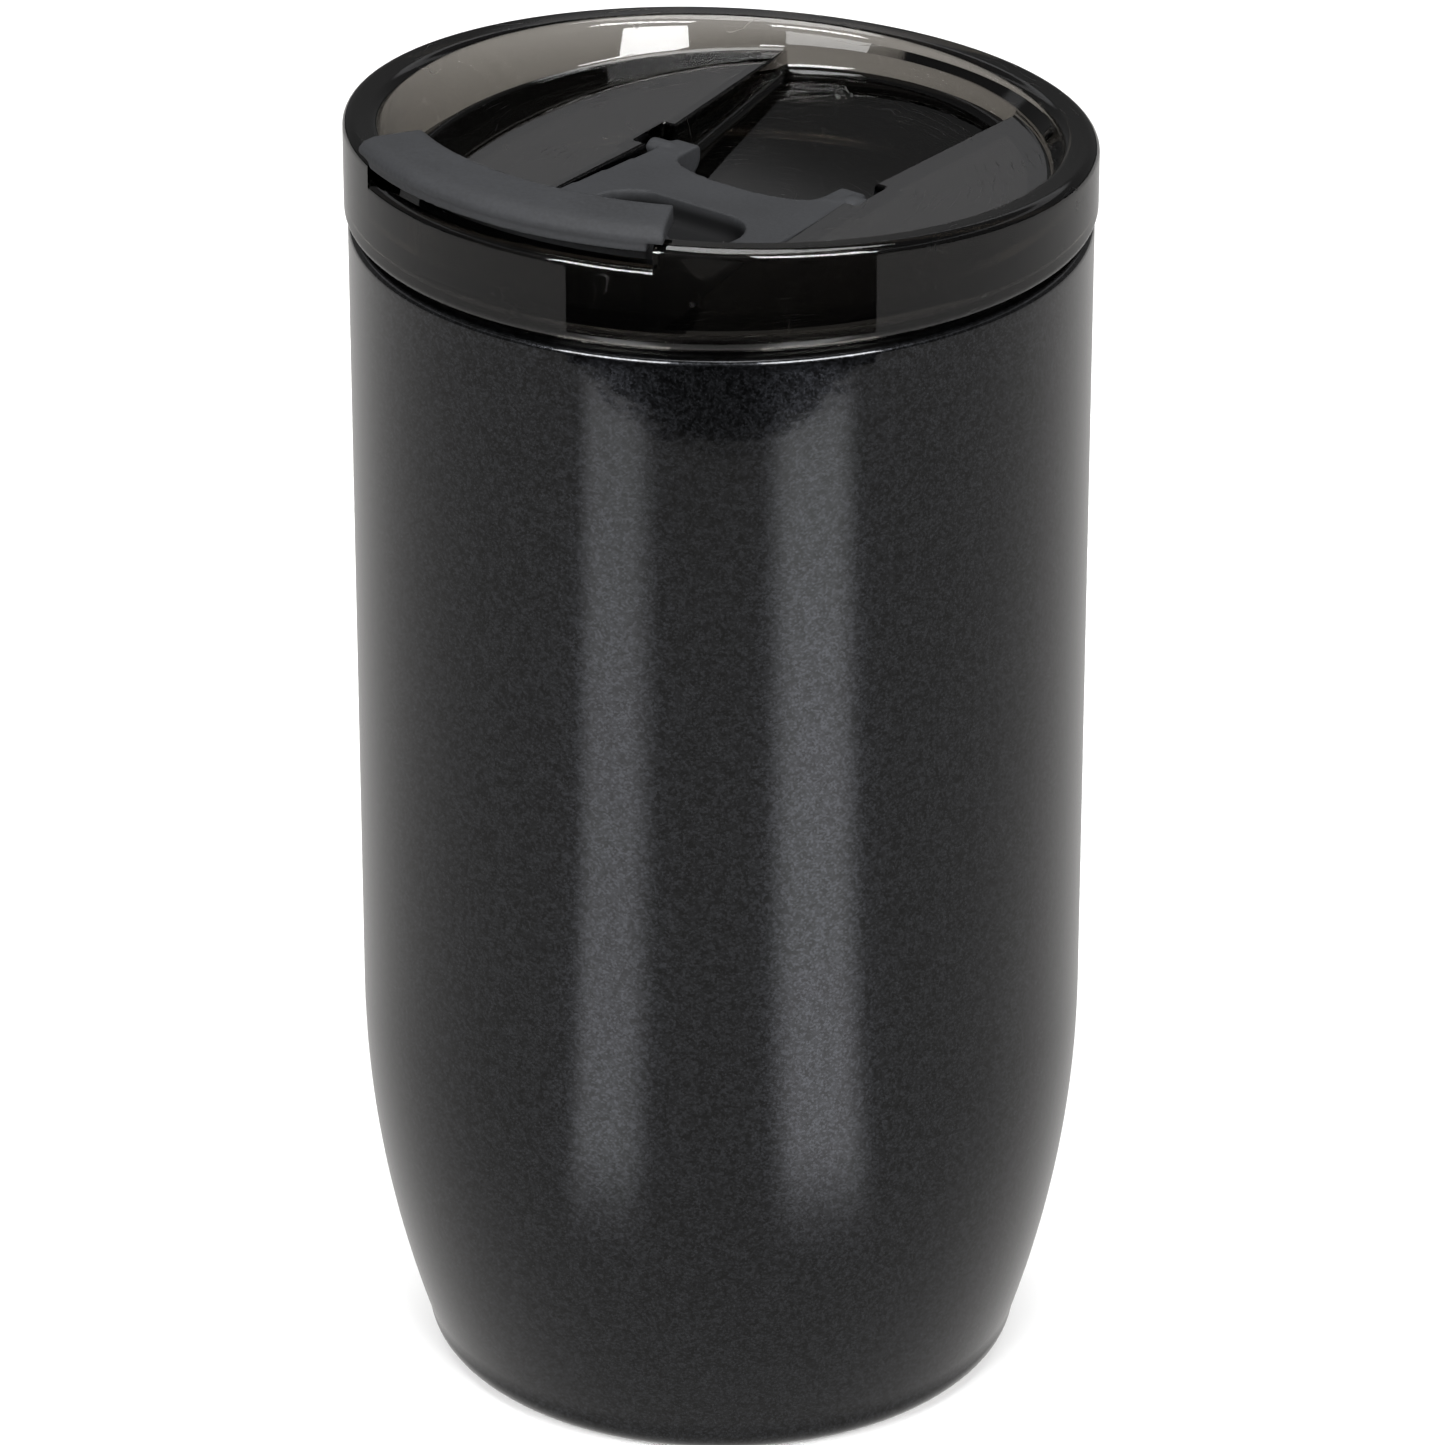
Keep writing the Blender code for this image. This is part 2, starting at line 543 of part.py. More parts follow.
def tab_mesh():
    """Curved tab over the rim: a bar of constant section swept round the lid's axis."""
    bottom = GAP
    top = bottom + TAB_THICKNESS
    outer = LID_RADIUS + TAB_PROUD
    edge = top - TAB_EDGE_DROP
    section = [
        (TAB_INNER_RADIUS, bottom),
        (TAB_INNER_RADIUS, top - TAB_CHAMFER),
        (TAB_INNER_RADIUS + TAB_CHAMFER, top),
        (outer - TAB_SLOPE_START, top - TAB_CHAMFER),
        (outer - TAB_EDGE_ROUND, edge),
        (outer, edge - TAB_EDGE_ROUND),
        (outer, bottom + TAB_CHAMFER),
        (outer - TAB_CHAMFER, bottom),
    ]
    bm = bmesh.new()
    rings = []
    for i in range(TAB_STEPS + 1):
        angle = math.radians(-TAB_HALF_ANGLE + 2 * TAB_HALF_ANGLE * i / TAB_STEPS)
        ring = []
        for radius, rise in section:
            y = -radius * math.cos(angle)
            ring.append(bm.verts.new((radius * math.sin(angle), y, RIM_Z - RIM_TILT * y + rise)))
        rings.append(ring)
    for ring, following in zip(rings, rings[1:]):
        for i in range(len(section)):
            j = (i + 1) % len(section)
            bm.faces.new((ring[i], ring[j], following[j], following[i]))
    bm.faces.new(rings[0])
    bm.faces.new(rings[-1])
    return bm


def bar_along_x(radius, low_x, high_x, top, sides=20):
    """A bar on the hinge axis between two X values, round but flat above top."""
    bm = bmesh.new()
    ends = []
    for x in (low_x, high_x):
        ring = arc((HINGE_Y, HINGE_Z), radius, 0, 360 * (1 - 1 / sides), sides - 1)
        ends.append([bm.verts.new((x, y, min(z, top))) for y, z in ring])
    bm.faces.new(ends[0])
    bm.faces.new(ends[1])
    for i in range(sides):
        j = (i + 1) % sides
        bm.faces.new((ends[0][i], ends[0][j], ends[1][j], ends[1][i]))
    return bm


def socket_outline():
    """Plan of the blind socket that holds the spout stopper's stem."""
    return oblong(SOCKET_LENGTH, SOCKET_WIDTH, SPOUT_HOLE_Y, 5)


def make_lever():
    plastic = material("lever_plastic", (0.050, 0.058, 0.068), 0.55)
    under = level(CHANNEL_FLOOR_Z + LEVER_FLOOR_CLEARANCE, DECK_TILT)
    pivot = (0.0, HINGE_Y, HINGE_Z)
    lever = make_object("flip_lever", lever_block(under), plastic, pivot)
    arm_outer = CHANNEL_WAIST - LEVER_SIDE_CLEARANCE
    for side, label in ((-1, "left"), (1, "right")):
        ends = sorted((side * (arm_outer - ARM_WIDTH), side * arm_outer))
        hub = bar_along_x(HUB_RADIUS, *ends, LEVER_TOP_Z + HUB_CROWN)
        combine(lever, make_object(f"hub_{label}", hub), "UNION")

    scoop_half = arm_outer - ARM_WIDTH
    behind = HINGE_Y + HUB_RADIUS + CUTTER_MARGIN
    scoop = [(-scoop_half, behind)]
    for i in range(15):
        angle = math.pi * i / 14
        depth = SCOOP_DEPTH * math.sin(angle) ** SCOOP_FULLNESS
        scoop.append((-scoop_half * math.cos(angle), HINGE_Y - depth))
    scoop.append((scoop_half, behind))
    scoop_low = level(CHANNEL_FLOOR_Z)
    crescent = make_object("scoop_cutter", prism(scoop, scoop_low, level(DECK_Z + CUTTER_MARGIN)))
    combine(lever, crescent, "DIFFERENCE")

    inset = POCKET_HALF_WIDTH - POCKET_CORNER
    pocket = arc((inset, POCKET_REAR_Y - POCKET_CORNER), POCKET_CORNER, 0, 90, 5)
    pocket += arc((-inset, POCKET_REAR_Y - POCKET_CORNER), POCKET_CORNER, 90, 180, 5)
    pocket += arc((-inset, POCKET_FRONT_Y + POCKET_CORNER), POCKET_CORNER, 180, 270, 5)
    pocket += arc((inset, POCKET_FRONT_Y + POCKET_CORNER), POCKET_CORNER, 270, 360, 5)
    above_tab = level(RIM_Z + RIM_TILT * LID_RADIUS + TAB_THICKNESS + CUTTER_MARGIN)
    pocket_cut = make_object("pocket_cutter", prism(pocket, level(POCKET_FLOOR_Z), above_tab))
    combine(lever, pocket_cut, "DIFFERENCE")

    combine(lever, make_object("lever_tab", tab_mesh()), "UNION")
    for side, label in ((-1, "left"), (1, "right")):
        ends = sorted((side * (arm_outer - STUB_ROOT), side * (CHANNEL_WAIST + STUB_LENGTH)))
        stub = bar_along_x(STUB_RADIUS, *ends, HINGE_Z + STUB_RADIUS)
        combine(lever, make_object(f"stub_{label}", stub), "UNION")

    below = level(CHANNEL_FLOOR_Z - CUTTER_MARGIN)
    socket_top = under(0.0, SPOUT_HOLE_Y) + SOCKET_HEIGHT
    socket = prism(socket_outline(), below, level(socket_top))
    combine(lever, make_object("socket_cutter", socket), "DIFFERENCE")
    peg_top = under(0.0, VENT_Y) + VENT_STEM_HEIGHT + GAP
    peg_plan = arc((0.0, VENT_Y), VENT_STEM_RADIUS + GAP, 0, 330, 11)
    peg_hole = prism(peg_plan, below, level(peg_top))
    combine(lever, make_object("peg_hole_cutter", peg_hole), "DIFFERENCE")


def make_stoppers():
    rubber = material("stopper_silicone", (0.045, 0.050, 0.058), 0.6)
    pivot = (0.0, HINGE_Y, HINGE_Z)
    floor = level(CHANNEL_FLOOR_Z + GAP, DECK_TILT)
    under = level(CHANNEL_FLOOR_Z + LEVER_FLOOR_CLEARANCE - GAP, DECK_TILT)
    middle = level(CHANNEL_FLOOR_Z + LEVER_FLOOR_CLEARANCE / 2, DECK_TILT)
    flange_length = SPOUT_HOLE_LENGTH + 2 * STOPPER_FLANGE
    flange = oblong(flange_length, SPOUT_HOLE_WIDTH + 2 * STOPPER_FLANGE, SPOUT_HOLE_Y)
    stopper = make_object("spout_stopper", prism(flange, floor, under), rubber, pivot)
    stem_plan = oblong(SOCKET_LENGTH - 2 * GAP, SOCKET_WIDTH - 2 * GAP, SPOUT_HOLE_Y, 5)
    socket_low = CHANNEL_FLOOR_Z + LEVER_FLOOR_CLEARANCE + DECK_TILT * SPOUT_HOLE_Y
    stem = prism(stem_plan, middle, level(socket_low + SOCKET_HEIGHT - GAP))
    combine(stopper, make_object("stopper_stem", stem), "UNION")
    plug_length = SPOUT_HOLE_LENGTH - 2 * STOPPER_CLEARANCE
    plug_width = SPOUT_HOLE_WIDTH - 2 * STOPPER_CLEARANCE
    upper = oblong(plug_length, plug_width, SPOUT_HOLE_Y)
    lower = oblong(plug_length - 2 * STOPPER_TAPER, plug_width - 2 * STOPPER_TAPER, SPOUT_HOLE_Y)
    plug_low = level(CHANNEL_FLOOR_Z - STOPPER_REACH * CHANNEL_FLOOR, DECK_TILT)
    combine(stopper, make_object("stopper_plug", loft(lower, upper, plug_low, middle)), "UNION")

    head_plan = arc((0.0, VENT_Y), VENT_HEAD_RADIUS, 0, 345, 23)
    vent = make_object("vent_stopper", prism(head_plan, floor, under), rubber, pivot)
    stem_plan = arc((0.0, VENT_Y), VENT_STEM_RADIUS, 0, 330, 11)
    peg_top = under(0.0, VENT_Y) + VENT_STEM_HEIGHT
    combine(vent, make_object("vent_peg", prism(stem_plan, middle, level(peg_top))), "UNION")


for old in list(bpy.data.objects):
    bpy.data.objects.remove(old, do_unlink=True)
make_shell()
make_base()
make_liner()
make_lid()
make_gasket()
make_lever()
make_stoppers()
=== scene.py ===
import json
import math

import bmesh
import bpy
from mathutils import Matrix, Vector


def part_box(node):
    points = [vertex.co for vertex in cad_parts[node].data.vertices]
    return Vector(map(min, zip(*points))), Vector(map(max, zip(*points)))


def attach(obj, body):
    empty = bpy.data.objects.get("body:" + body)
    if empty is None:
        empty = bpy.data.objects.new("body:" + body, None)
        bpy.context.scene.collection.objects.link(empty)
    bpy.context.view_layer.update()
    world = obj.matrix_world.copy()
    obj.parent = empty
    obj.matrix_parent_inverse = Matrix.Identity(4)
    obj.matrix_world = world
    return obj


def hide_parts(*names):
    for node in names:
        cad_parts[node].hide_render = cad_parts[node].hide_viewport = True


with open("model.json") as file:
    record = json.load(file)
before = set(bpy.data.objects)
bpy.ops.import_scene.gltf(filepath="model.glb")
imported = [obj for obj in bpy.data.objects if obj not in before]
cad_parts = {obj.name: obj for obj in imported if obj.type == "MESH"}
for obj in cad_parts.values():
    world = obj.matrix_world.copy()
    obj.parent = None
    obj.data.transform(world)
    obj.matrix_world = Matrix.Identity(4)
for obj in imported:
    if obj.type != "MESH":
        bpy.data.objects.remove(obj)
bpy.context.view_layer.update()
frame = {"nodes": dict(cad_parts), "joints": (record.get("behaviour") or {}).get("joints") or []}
MM = 0.001


# Camera: a long lens looking down on the tumbler from its front right, with the
# spout turned to the left.
VIEW_AZIMUTH = math.radians(38.3)
VIEW_ELEVATION = math.radians(26.0)
VIEW_DISTANCE = 930 * MM
VIEW_HEIGHT = 80.2 * MM

camera_data = bpy.data.cameras.new("camera")
camera_data.sensor_width = 36.0
camera_data.lens = 194.5
camera_data.shift_x = 0.0008
camera_data.clip_start = 0.01
camera_data.clip_end = 20.0
camera = bpy.data.objects.new("camera", camera_data)
bpy.context.collection.objects.link(camera)
towards = Vector((
    math.sin(VIEW_AZIMUTH) * math.cos(VIEW_ELEVATION),
    -math.cos(VIEW_AZIMUTH) * math.cos(VIEW_ELEVATION),
    math.sin(VIEW_ELEVATION),
))
camera.location = Vector((0, 0, VIEW_HEIGHT)) + towards * VIEW_DISTANCE
camera.rotation_euler = (-towards).to_track_quat("-Z", "Y").to_euler()
bpy.context.scene.camera = camera


# Shader and geometry nodes are written as expressions: a Wire is one output of a
# node, its operators add Math nodes, and make() adds any other node.
class Wire:
    def __init__(self, tree, socket=None):
        self.tree = tree
        self.socket = socket

    def make(self, kind, settings=None, values=None, out=0):
        """Add a node: its settings first, then the values or links of its sockets."""
        node = self.tree.nodes.new(kind)
        for name, value in (settings or {}).items():
            setattr(node, name, value)
        for name, value in (values or {}).items():
            if isinstance(value, Wire):
                self.tree.links.new(value.socket, node.inputs[name])
            else:
                node.inputs[name].default_value = value
        return Wire(self.tree, node.outputs[out])

    def math(self, operation, *others):
        return self.make("ShaderNodeMath", {"operation": operation}, dict(enumerate((self, *others))))

    def __add__(self, other):
        return self.math("ADD", other)

    def __mul__(self, other):
        return self.math("MULTIPLY", other)

    def __sub__(self, other):
        return self.math("SUBTRACT", other)

    def __truediv__(self, other):
        return self.math("DIVIDE", other)

    def __pow__(self, other):
        return self.math("POWER", other)

    def __gt__(self, other):
        return self.math("GREATER_THAN", other)

    def __neg__(self):
        return self.math("MULTIPLY", -1.0)

    def __rsub__(self, other):
        return (-self).math("ADD", other)

    __radd__ = __add__

    def between(self, low, high):
        """0 below low, 1 above high, and a smooth rise between them."""
        values = {"Value": self, "From Min": low, "From Max": high}
        return self.make("ShaderNodeMapRange", {"interpolation_type": "SMOOTHSTEP"}, values)

    def mix(self, first, second):
        """A colour that goes from first to second as this value goes from 0 to 1."""
        values = {0: self}
        for index, colour in ((6, first), (7, second)):
            values[index] = colour if isinstance(colour, Wire) else (*colour, 1.0)
        return self.make("ShaderNodeMix", {"data_type": "RGBA"}, values, out=2)


def new_material(name):
    """An empty node material; returns it with a Wire to build in and its output node."""
    material = bpy.data.materials.new(name)
    material.use_nodes = True
    tree = material.node_tree
    tree.nodes.clear()
    output = tree.nodes.new("ShaderNodeOutputMaterial")
    return material, Wire(tree), output


def finish_with(material_wire, output, values):
    """Put a Principled shader with these socket values on the output."""
    shader = material_wire.make("ShaderNodeBsdfPrincipled", None, values)
    material_wire.tree.links.new(shader.socket, output.inputs["Surface"])


# Studio: a plain pale floor that runs out of view, two tall soft panels either
# side of the camera and a dim room. The polished surfaces mirror a low white table,
# which ends in front of the tumbler and carries the glossy images of the panels.
FLOOR_RADIUS = 4.0
FLOOR_GLOW = 0.25
TABLE_EDGE = 0.348
TABLE_BULGE = 0.030
TABLE_GAP = math.radians(45)
TABLE_FAR = 2.0
TABLE_GLOW = 0.52
STREAK_GLOW = 2.3
STREAK_LEFT = (-43, -36, -27, -17)
STREAK_RIGHT = (11, 21, 32, 42)
STREAK_LEFT_SHARE = 0.8
STREAK_NEAR = (0.070, 0.125)
PANEL_DISTANCE = 1.15
PANEL_HEIGHTS = (0.60, 1.10)
PANEL_RADIANCE = 20.0
PANEL_FILL = 0.05
OVERHEAD_SIZE = 1.2
OVERHEAD_HEIGHT = 1.5
OVERHEAD_RADIANCE = 6.0
OVERHEAD_GLOSS = 2.0
ROOM_BAND = (0.38, 0.44, 0.515, 0.565)


def plan_fan(name, inner, outer, z, steps):
    """A flat sheet round the axis; outer gives its edge for an angle from the camera's side."""
    bm = bmesh.new()
    rows = []
    for i in range(steps):
        turn = 2 * math.pi * i / steps - math.pi
        direction = Vector((math.sin(VIEW_AZIMUTH + turn), -math.cos(VIEW_AZIMUTH + turn), 0))
        rows.append([bm.verts.new(direction * radius + Vector((0, 0, z))) for radius in (inner, outer(turn))])
    for near, far in zip(rows, rows[1:] + rows[:1]):
        bm.faces.new((near[0], near[1], far[1], far[0]))
    mesh = bpy.data.meshes.new(name)
    bm.to_mesh(mesh)
    bm.free()
    obj = bpy.data.objects.new(name, mesh)
    bpy.context.collection.objects.link(obj)
    return obj


def table_edge(turn):
    """Where the table ends: near in front of the tumbler, far away at the sides."""
    share = abs(turn) / TABLE_GAP
    if share > 1.1:
        return TABLE_FAR
    return TABLE_EDGE + TABLE_BULGE * share**2 + (TABLE_FAR - TABLE_EDGE) * max(share - 1, 0) * 10


floor = plan_fan("floor", 1 * MM, lambda turn: FLOOR_RADIUS, -0.2 * MM, 96)
floor.visible_glossy = False
material, wire, output = new_material("floor_paint")
speck = wire.make("ShaderNodeTexNoise", None, {"Scale": 60.0, "Detail": 4.0})
finish_with(wire, output, {
    "Base Color": speck.between(0.3, 0.7).mix((0.70, 0.70, 0.70), (0.74, 0.74, 0.74)), "Roughness": 0.9,
    "Emission Color": (1.0, 0.99, 0.98, 1.0), "Emission Strength": FLOOR_GLOW,
})
floor.data.materials.append(material)

material, wire, output = new_material("table_glow")
place = wire.make("ShaderNodeTexCoord", out=3)
x = wire.make("ShaderNodeSeparateXYZ", None, {0: place}, out=0)
y = wire.make("ShaderNodeSeparateXYZ", None, {0: place}, out=1)
aside = x * math.cos(VIEW_AZIMUTH) + y * math.sin(VIEW_AZIMUTH)
ahead = x * math.sin(VIEW_AZIMUTH) - y * math.cos(VIEW_AZIMUTH)
turn = aside.math("ARCTAN2", ahead) * (180 / math.pi)
streaks = []
for first, full, fading, last in (STREAK_LEFT, STREAK_RIGHT):
    streaks.append(turn.between(first, full) * (1.0 - turn.between(fading, last)))
reach = ((x * x + y * y) ** 0.5).between(*STREAK_NEAR)
share = (streaks[0] * STREAK_LEFT_SHARE + streaks[1]) * reach
plain = [c * TABLE_GLOW / STREAK_GLOW for c in (1.0, 0.985, 0.97)]
colour = share.mix(plain, (1.0, 1.0, 1.03))
glow = wire.make("ShaderNodeEmission", None, {"Color": colour, "Strength": STREAK_GLOW})
wire.tree.links.new(glow.socket, output.inputs["Surface"])
table = plan_fan("table", 1 * MM, table_edge, -0.1 * MM, 360)
table.data.materials.append(material)
table.visible_camera = False
table.visible_diffuse = False
table.visible_transmission = False
table.visible_shadow = False

low, high = PANEL_HEIGHTS
for name, azimuth, width in (("panel_left", -34.0, 0.74), ("panel_right", 31.0, 0.78)):
    angle = VIEW_AZIMUTH + math.radians(azimuth)
    data = bpy.data.lights.new(name, "AREA")
    data.shape = "RECTANGLE"
    data.size = width
    data.size_y = high - low
    data.energy = PANEL_RADIANCE * width * (high - low) * math.pi
    data.diffuse_factor = PANEL_FILL
    panel = bpy.data.objects.new(name, data)
    panel.location = (math.sin(angle) * PANEL_DISTANCE, -math.cos(angle) * PANEL_DISTANCE, (low + high) / 2)
    direction = Vector((0, 0, panel.location.z)) - panel.location
    panel.rotation_euler = direction.to_track_quat("-Z", "Y").to_euler()
    panel.visible_camera = False
    bpy.context.collection.objects.link(panel)

data = bpy.data.lights.new("overhead", "AREA")
data.size = OVERHEAD_SIZE
data.energy = OVERHEAD_RADIANCE * OVERHEAD_SIZE**2 * math.pi
data.specular_factor = OVERHEAD_GLOSS
overhead = bpy.data.objects.new("overhead", data)
overhead.location = (0, 0, OVERHEAD_HEIGHT)
overhead.visible_camera = False
bpy.context.collection.objects.link(overhead)

world = bpy.data.worlds.new("room")
world.use_nodes = True
bpy.context.scene.world = world
world.node_tree.nodes.clear()
sky = Wire(world.node_tree)
direction = sky.make("ShaderNodeTexCoord", out=0)
height = direction.make("ShaderNodeSeparateXYZ", None, {0: direction}, out=2)
glow = height.between(ROOM_BAND[0], ROOM_BAND[1]) * (1.0 - height.between(ROOM_BAND[2], ROOM_BAND[3]))
room = height.between(-0.02, 0.02).mix((0.02, 0.02, 0.02), (0.12, 0.12, 0.12))
shade = glow.mix(room, (0.50, 0.50, 0.51))
backdrop = sky.make("ShaderNodeBackground", None, {"Color": shade, "Strength": 1.0})
world_out = world.node_tree.nodes.new("ShaderNodeOutputWorld")
world.node_tree.links.new(backdrop.socket, world_out.inputs["Surface"])
bpy.context.scene.view_settings.view_transform = "Standard"


# Outer shell: drawn stainless steel under a black metallic powder coat with a clear
# top layer, curved in at the foot and rolled over at the shoulder.
SIDES = 192
SHARP_ANGLE = math.radians(30)
shell_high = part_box("outer_shell")[1]
BODY_RADIUS = shell_high.x / MM
SHOULDER_Z = shell_high.z / MM
SHELL_WALL = 0.8
SHOULDER_ROUND = 0.9
KNEE_Z = 47.0
BASE_RADIUS = BODY_RADIUS - 7.1
FOOT_FILLET = 3.5
FOOT_INNER_RADIUS = BASE_RADIUS - 5.5
VACUUM_SPACE = 1.9
LINER_WALL = 0.5
LINER_OUTER = BODY_RADIUS - SHELL_WALL - VACUUM_SPACE
GAP = 0.35


def turning_tree():
    """Geometry nodes that spin an outline of points (radius, 0, z) about Z.

    A point's lean attribute tips its ring: the ring lies in z + lean * y.
    """
    tree = bpy.data.node_groups.new("turned_piece", "GeometryNodeTree")
    for name, kind in (("Outline", "NodeSocketGeometry"), ("Sides", "NodeSocketInt"),
                       ("Finish", "NodeSocketMaterial")):
        tree.interface.new_socket(name=name, in_out="INPUT", socket_type=kind)
    tree.interface.new_socket(name="Piece", in_out="OUTPUT", socket_type="NodeSocketGeometry")
    group = tree.nodes.new("NodeGroupInput")
    outline = Wire(tree, group.outputs["Outline"])
    sides = Wire(tree, group.outputs["Sides"])
    count = outline.make("GeometryNodeAttributeDomainSize", None, {0: outline}, out=0)
    grid = outline.make("GeometryNodeMeshGrid", None, {"Vertices X": count + 1, "Vertices Y": sides + 1})
    index = outline.make("GeometryNodeInputIndex")
    row = (index / (sides + 1)).math("FLOOR")
    column = index - row * (sides + 1)
    pick = row.math("MODULO", count)
    place = outline.make("GeometryNodeInputPosition")
    point = outline.make("GeometryNodeSampleIndex", {"data_type": "FLOAT_VECTOR"},
                         {0: outline, 1: place, 2: pick})
    lean_name = outline.make("GeometryNodeInputNamedAttribute", {"data_type": "FLOAT"}, {0: "lean"})
    lean = outline.make("GeometryNodeSampleIndex", {"data_type": "FLOAT"},
                        {0: outline, 1: lean_name, 2: pick})
    radius = outline.make("ShaderNodeSeparateXYZ", None, {0: point}, out=0)
    z = outline.make("ShaderNodeSeparateXYZ", None, {0: point}, out=2)
    angle = column / sides * (2 * math.pi)
    x = radius * angle.math("COSINE")
    y = radius * angle.math("SINE")
    spun = outline.make("ShaderNodeCombineXYZ", None, {0: x, 1: y, 2: z + lean * y})
    placed = outline.make("GeometryNodeSetPosition", None, {0: grid, "Position": spun})
    closed = outline.make("GeometryNodeMergeByDistance", None, {0: placed, "Distance": 1e-6})
    finish = Wire(tree, group.outputs["Finish"])
    coloured = outline.make("GeometryNodeSetMaterial", None, {0: closed, "Material": finish})
    real = outline.make("GeometryNodeRealizeInstances", None, {0: coloured})
    end = tree.nodes.new("NodeGroupOutput")
    tree.links.new(real.socket, end.inputs[0])
    return tree


TURNING = turning_tree()


def plain_mesh(obj):
    """The evaluated object as a plain mesh without modifiers, normals facing out."""
    graph = bpy.context.evaluated_depsgraph_get()
    mesh = bpy.data.meshes.new_from_object(obj.evaluated_get(graph), depsgraph=graph)
    obj.modifiers.clear()
    obj.data = mesh
    bm = bmesh.new()
    bm.from_mesh(mesh)
    bmesh.ops.remove_doubles(bm, verts=bm.verts, dist=1e-6)
    bmesh.ops.recalc_face_normals(bm, faces=bm.faces)
    bm.to_mesh(mesh)
    bm.free()
    return mesh


def turned(name, outline, material):
    """A turned piece from (radius, z) or (radius, z, lean) points in millimetres."""
    mesh = bpy.data.meshes.new(name + "_outline")
    mesh.from_pydata([(p[0] * MM, 0, p[1] * MM) for p in outline], [], [])
    lean = mesh.attributes.new("lean", "FLOAT", "POINT")
    for item, point in zip(lean.data, outline):
        item.value = point[2] if len(point) > 2 else 0.0
    obj = bpy.data.objects.new(name, mesh)
    bpy.context.collection.objects.link(obj)
    modifier = obj.modifiers.new("turn", "NODES")
    modifier.node_group = TURNING
    sockets = {item.name: item.identifier for item in TURNING.interface.items_tree}
    modifier[sockets["Sides"]] = SIDES
    modifier[sockets["Finish"]] = material
    plain_mesh(obj)
    obj.data.shade_smooth()
    obj.data.set_sharp_from_angle(angle=SHARP_ANGLE)
    return obj


def arc(centre, radius, start, end, steps):
    """Points on an arc, angles in degrees."""
    points = []
    for i in range(steps + 1):
        angle = math.radians(start + (end - start) * i / steps)
        points.append((centre[0] + radius * math.cos(angle), centre[1] + radius * math.sin(angle)))
    return points


def body_radius(z):
    """Outer radius of the shell: straight, then curving in to the foot."""
    if z >= KNEE_Z:
        return BODY_RADIUS
    u = (KNEE_Z - z) / (KNEE_Z - FOOT_FILLET)
    return BASE_RADIUS + (BODY_RADIUS - BASE_RADIUS) * (1 - u**2)


def spread(low, high, count):
    """Heights from high down to low."""
    return [high + (low - high) * i / count for i in range(count + 1)]


material, wire, output = new_material("black_powder_coat")
place = wire.make("ShaderNodeTexCoord", out=3)
cells = wire.make("ShaderNodeTexVoronoi", None, {"Vector": place, "Scale": 4200.0}, out=1)
grain = wire.make("ShaderNodeSeparateColor", None, {0: cells}, out=0)
mottle = wire.make("ShaderNodeTexNoise", None, {"Vector": place, "Scale": 1100.0, "Detail": 3.0})
flake = grain.between(0.35, 1.0) * 0.7 + mottle.between(0.35, 0.65) * 0.3
tone = flake.mix((0.0030, 0.0031, 0.0034), (0.036, 0.038, 0.043))
height = grain * 0.5 + mottle
bump = wire.make("ShaderNodeBump", None, {"Strength": 0.12, "Distance": 0.00002, "Height": height})
rough = 0.20 + mottle * 0.06
wave = wire.make("ShaderNodeTexNoise", None, {"Vector": place, "Scale": 260.0, "Detail": 2.0})
swell = wave + mottle * 0.1
ripple = wire.make("ShaderNodeBump", None, {"Strength": 0.10, "Distance": 0.0001, "Height": swell})
finish_with(wire, output, {
    "Base Color": tone, "Metallic": 0.95, "Roughness": rough, "Normal": bump,
    "Coat Weight": 0.65, "Coat Roughness": 0.05, "Coat IOR": 1.5, "Coat Normal": ripple,
})

foot_centre = (BASE_RADIUS - FOOT_FILLET, FOOT_FILLET)
heights = spread(FOOT_FILLET, KNEE_Z, 28)
shell = [(LINER_OUTER + GAP, SHOULDER_Z)]
shell += arc((BODY_RADIUS - SHOULDER_ROUND, SHOULDER_Z - SHOULDER_ROUND), SHOULDER_ROUND, 90, 0, 10)
shell.append((BODY_RADIUS, SHOULDER_Z - 2 * SHOULDER_ROUND))
shell.append((BODY_RADIUS, KNEE_Z + 1.0))
shell += [(body_radius(z), z) for z in heights]
shell += arc(foot_centre, FOOT_FILLET, 0, -90, 12)[1:]
shell += [(FOOT_INNER_RADIUS, 0.0), (FOOT_INNER_RADIUS, SHELL_WALL)]
shell += arc(foot_centre, FOOT_FILLET - SHELL_WALL, -90, 0, 8)
shell += [(body_radius(z) - SHELL_WALL, z) for z in reversed(heights[:-1])]
shell += [(BODY_RADIUS - SHELL_WALL, SHOULDER_Z - SHELL_WALL), (LINER_OUTER + GAP, SHOULDER_Z - SHELL_WALL)]
coated_shell = turned("coated_shell", shell, material)
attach(coated_shell, "cup")
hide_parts("outer_shell")


# Base: a spot-welded stainless disc with the dimple where the vacuum was drawn, its
# glass seal, and the getter tablet inside the vacuum space.
DISC_EDGE = FOOT_INNER_RADIUS + 1.6
DISC_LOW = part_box("base_disc")[0].z / MM
DISC_WALL = 0.8
DISC_GROOVE_RADIUS = 21.4
DISC_GROOVE_HALF = 0.6
DISC_GROOVE_DEPTH = 0.25
DIMPLE_RADIUS = 6.0
DIMPLE_DEPTH = 1.6
HOLE_RADIUS = 1.2


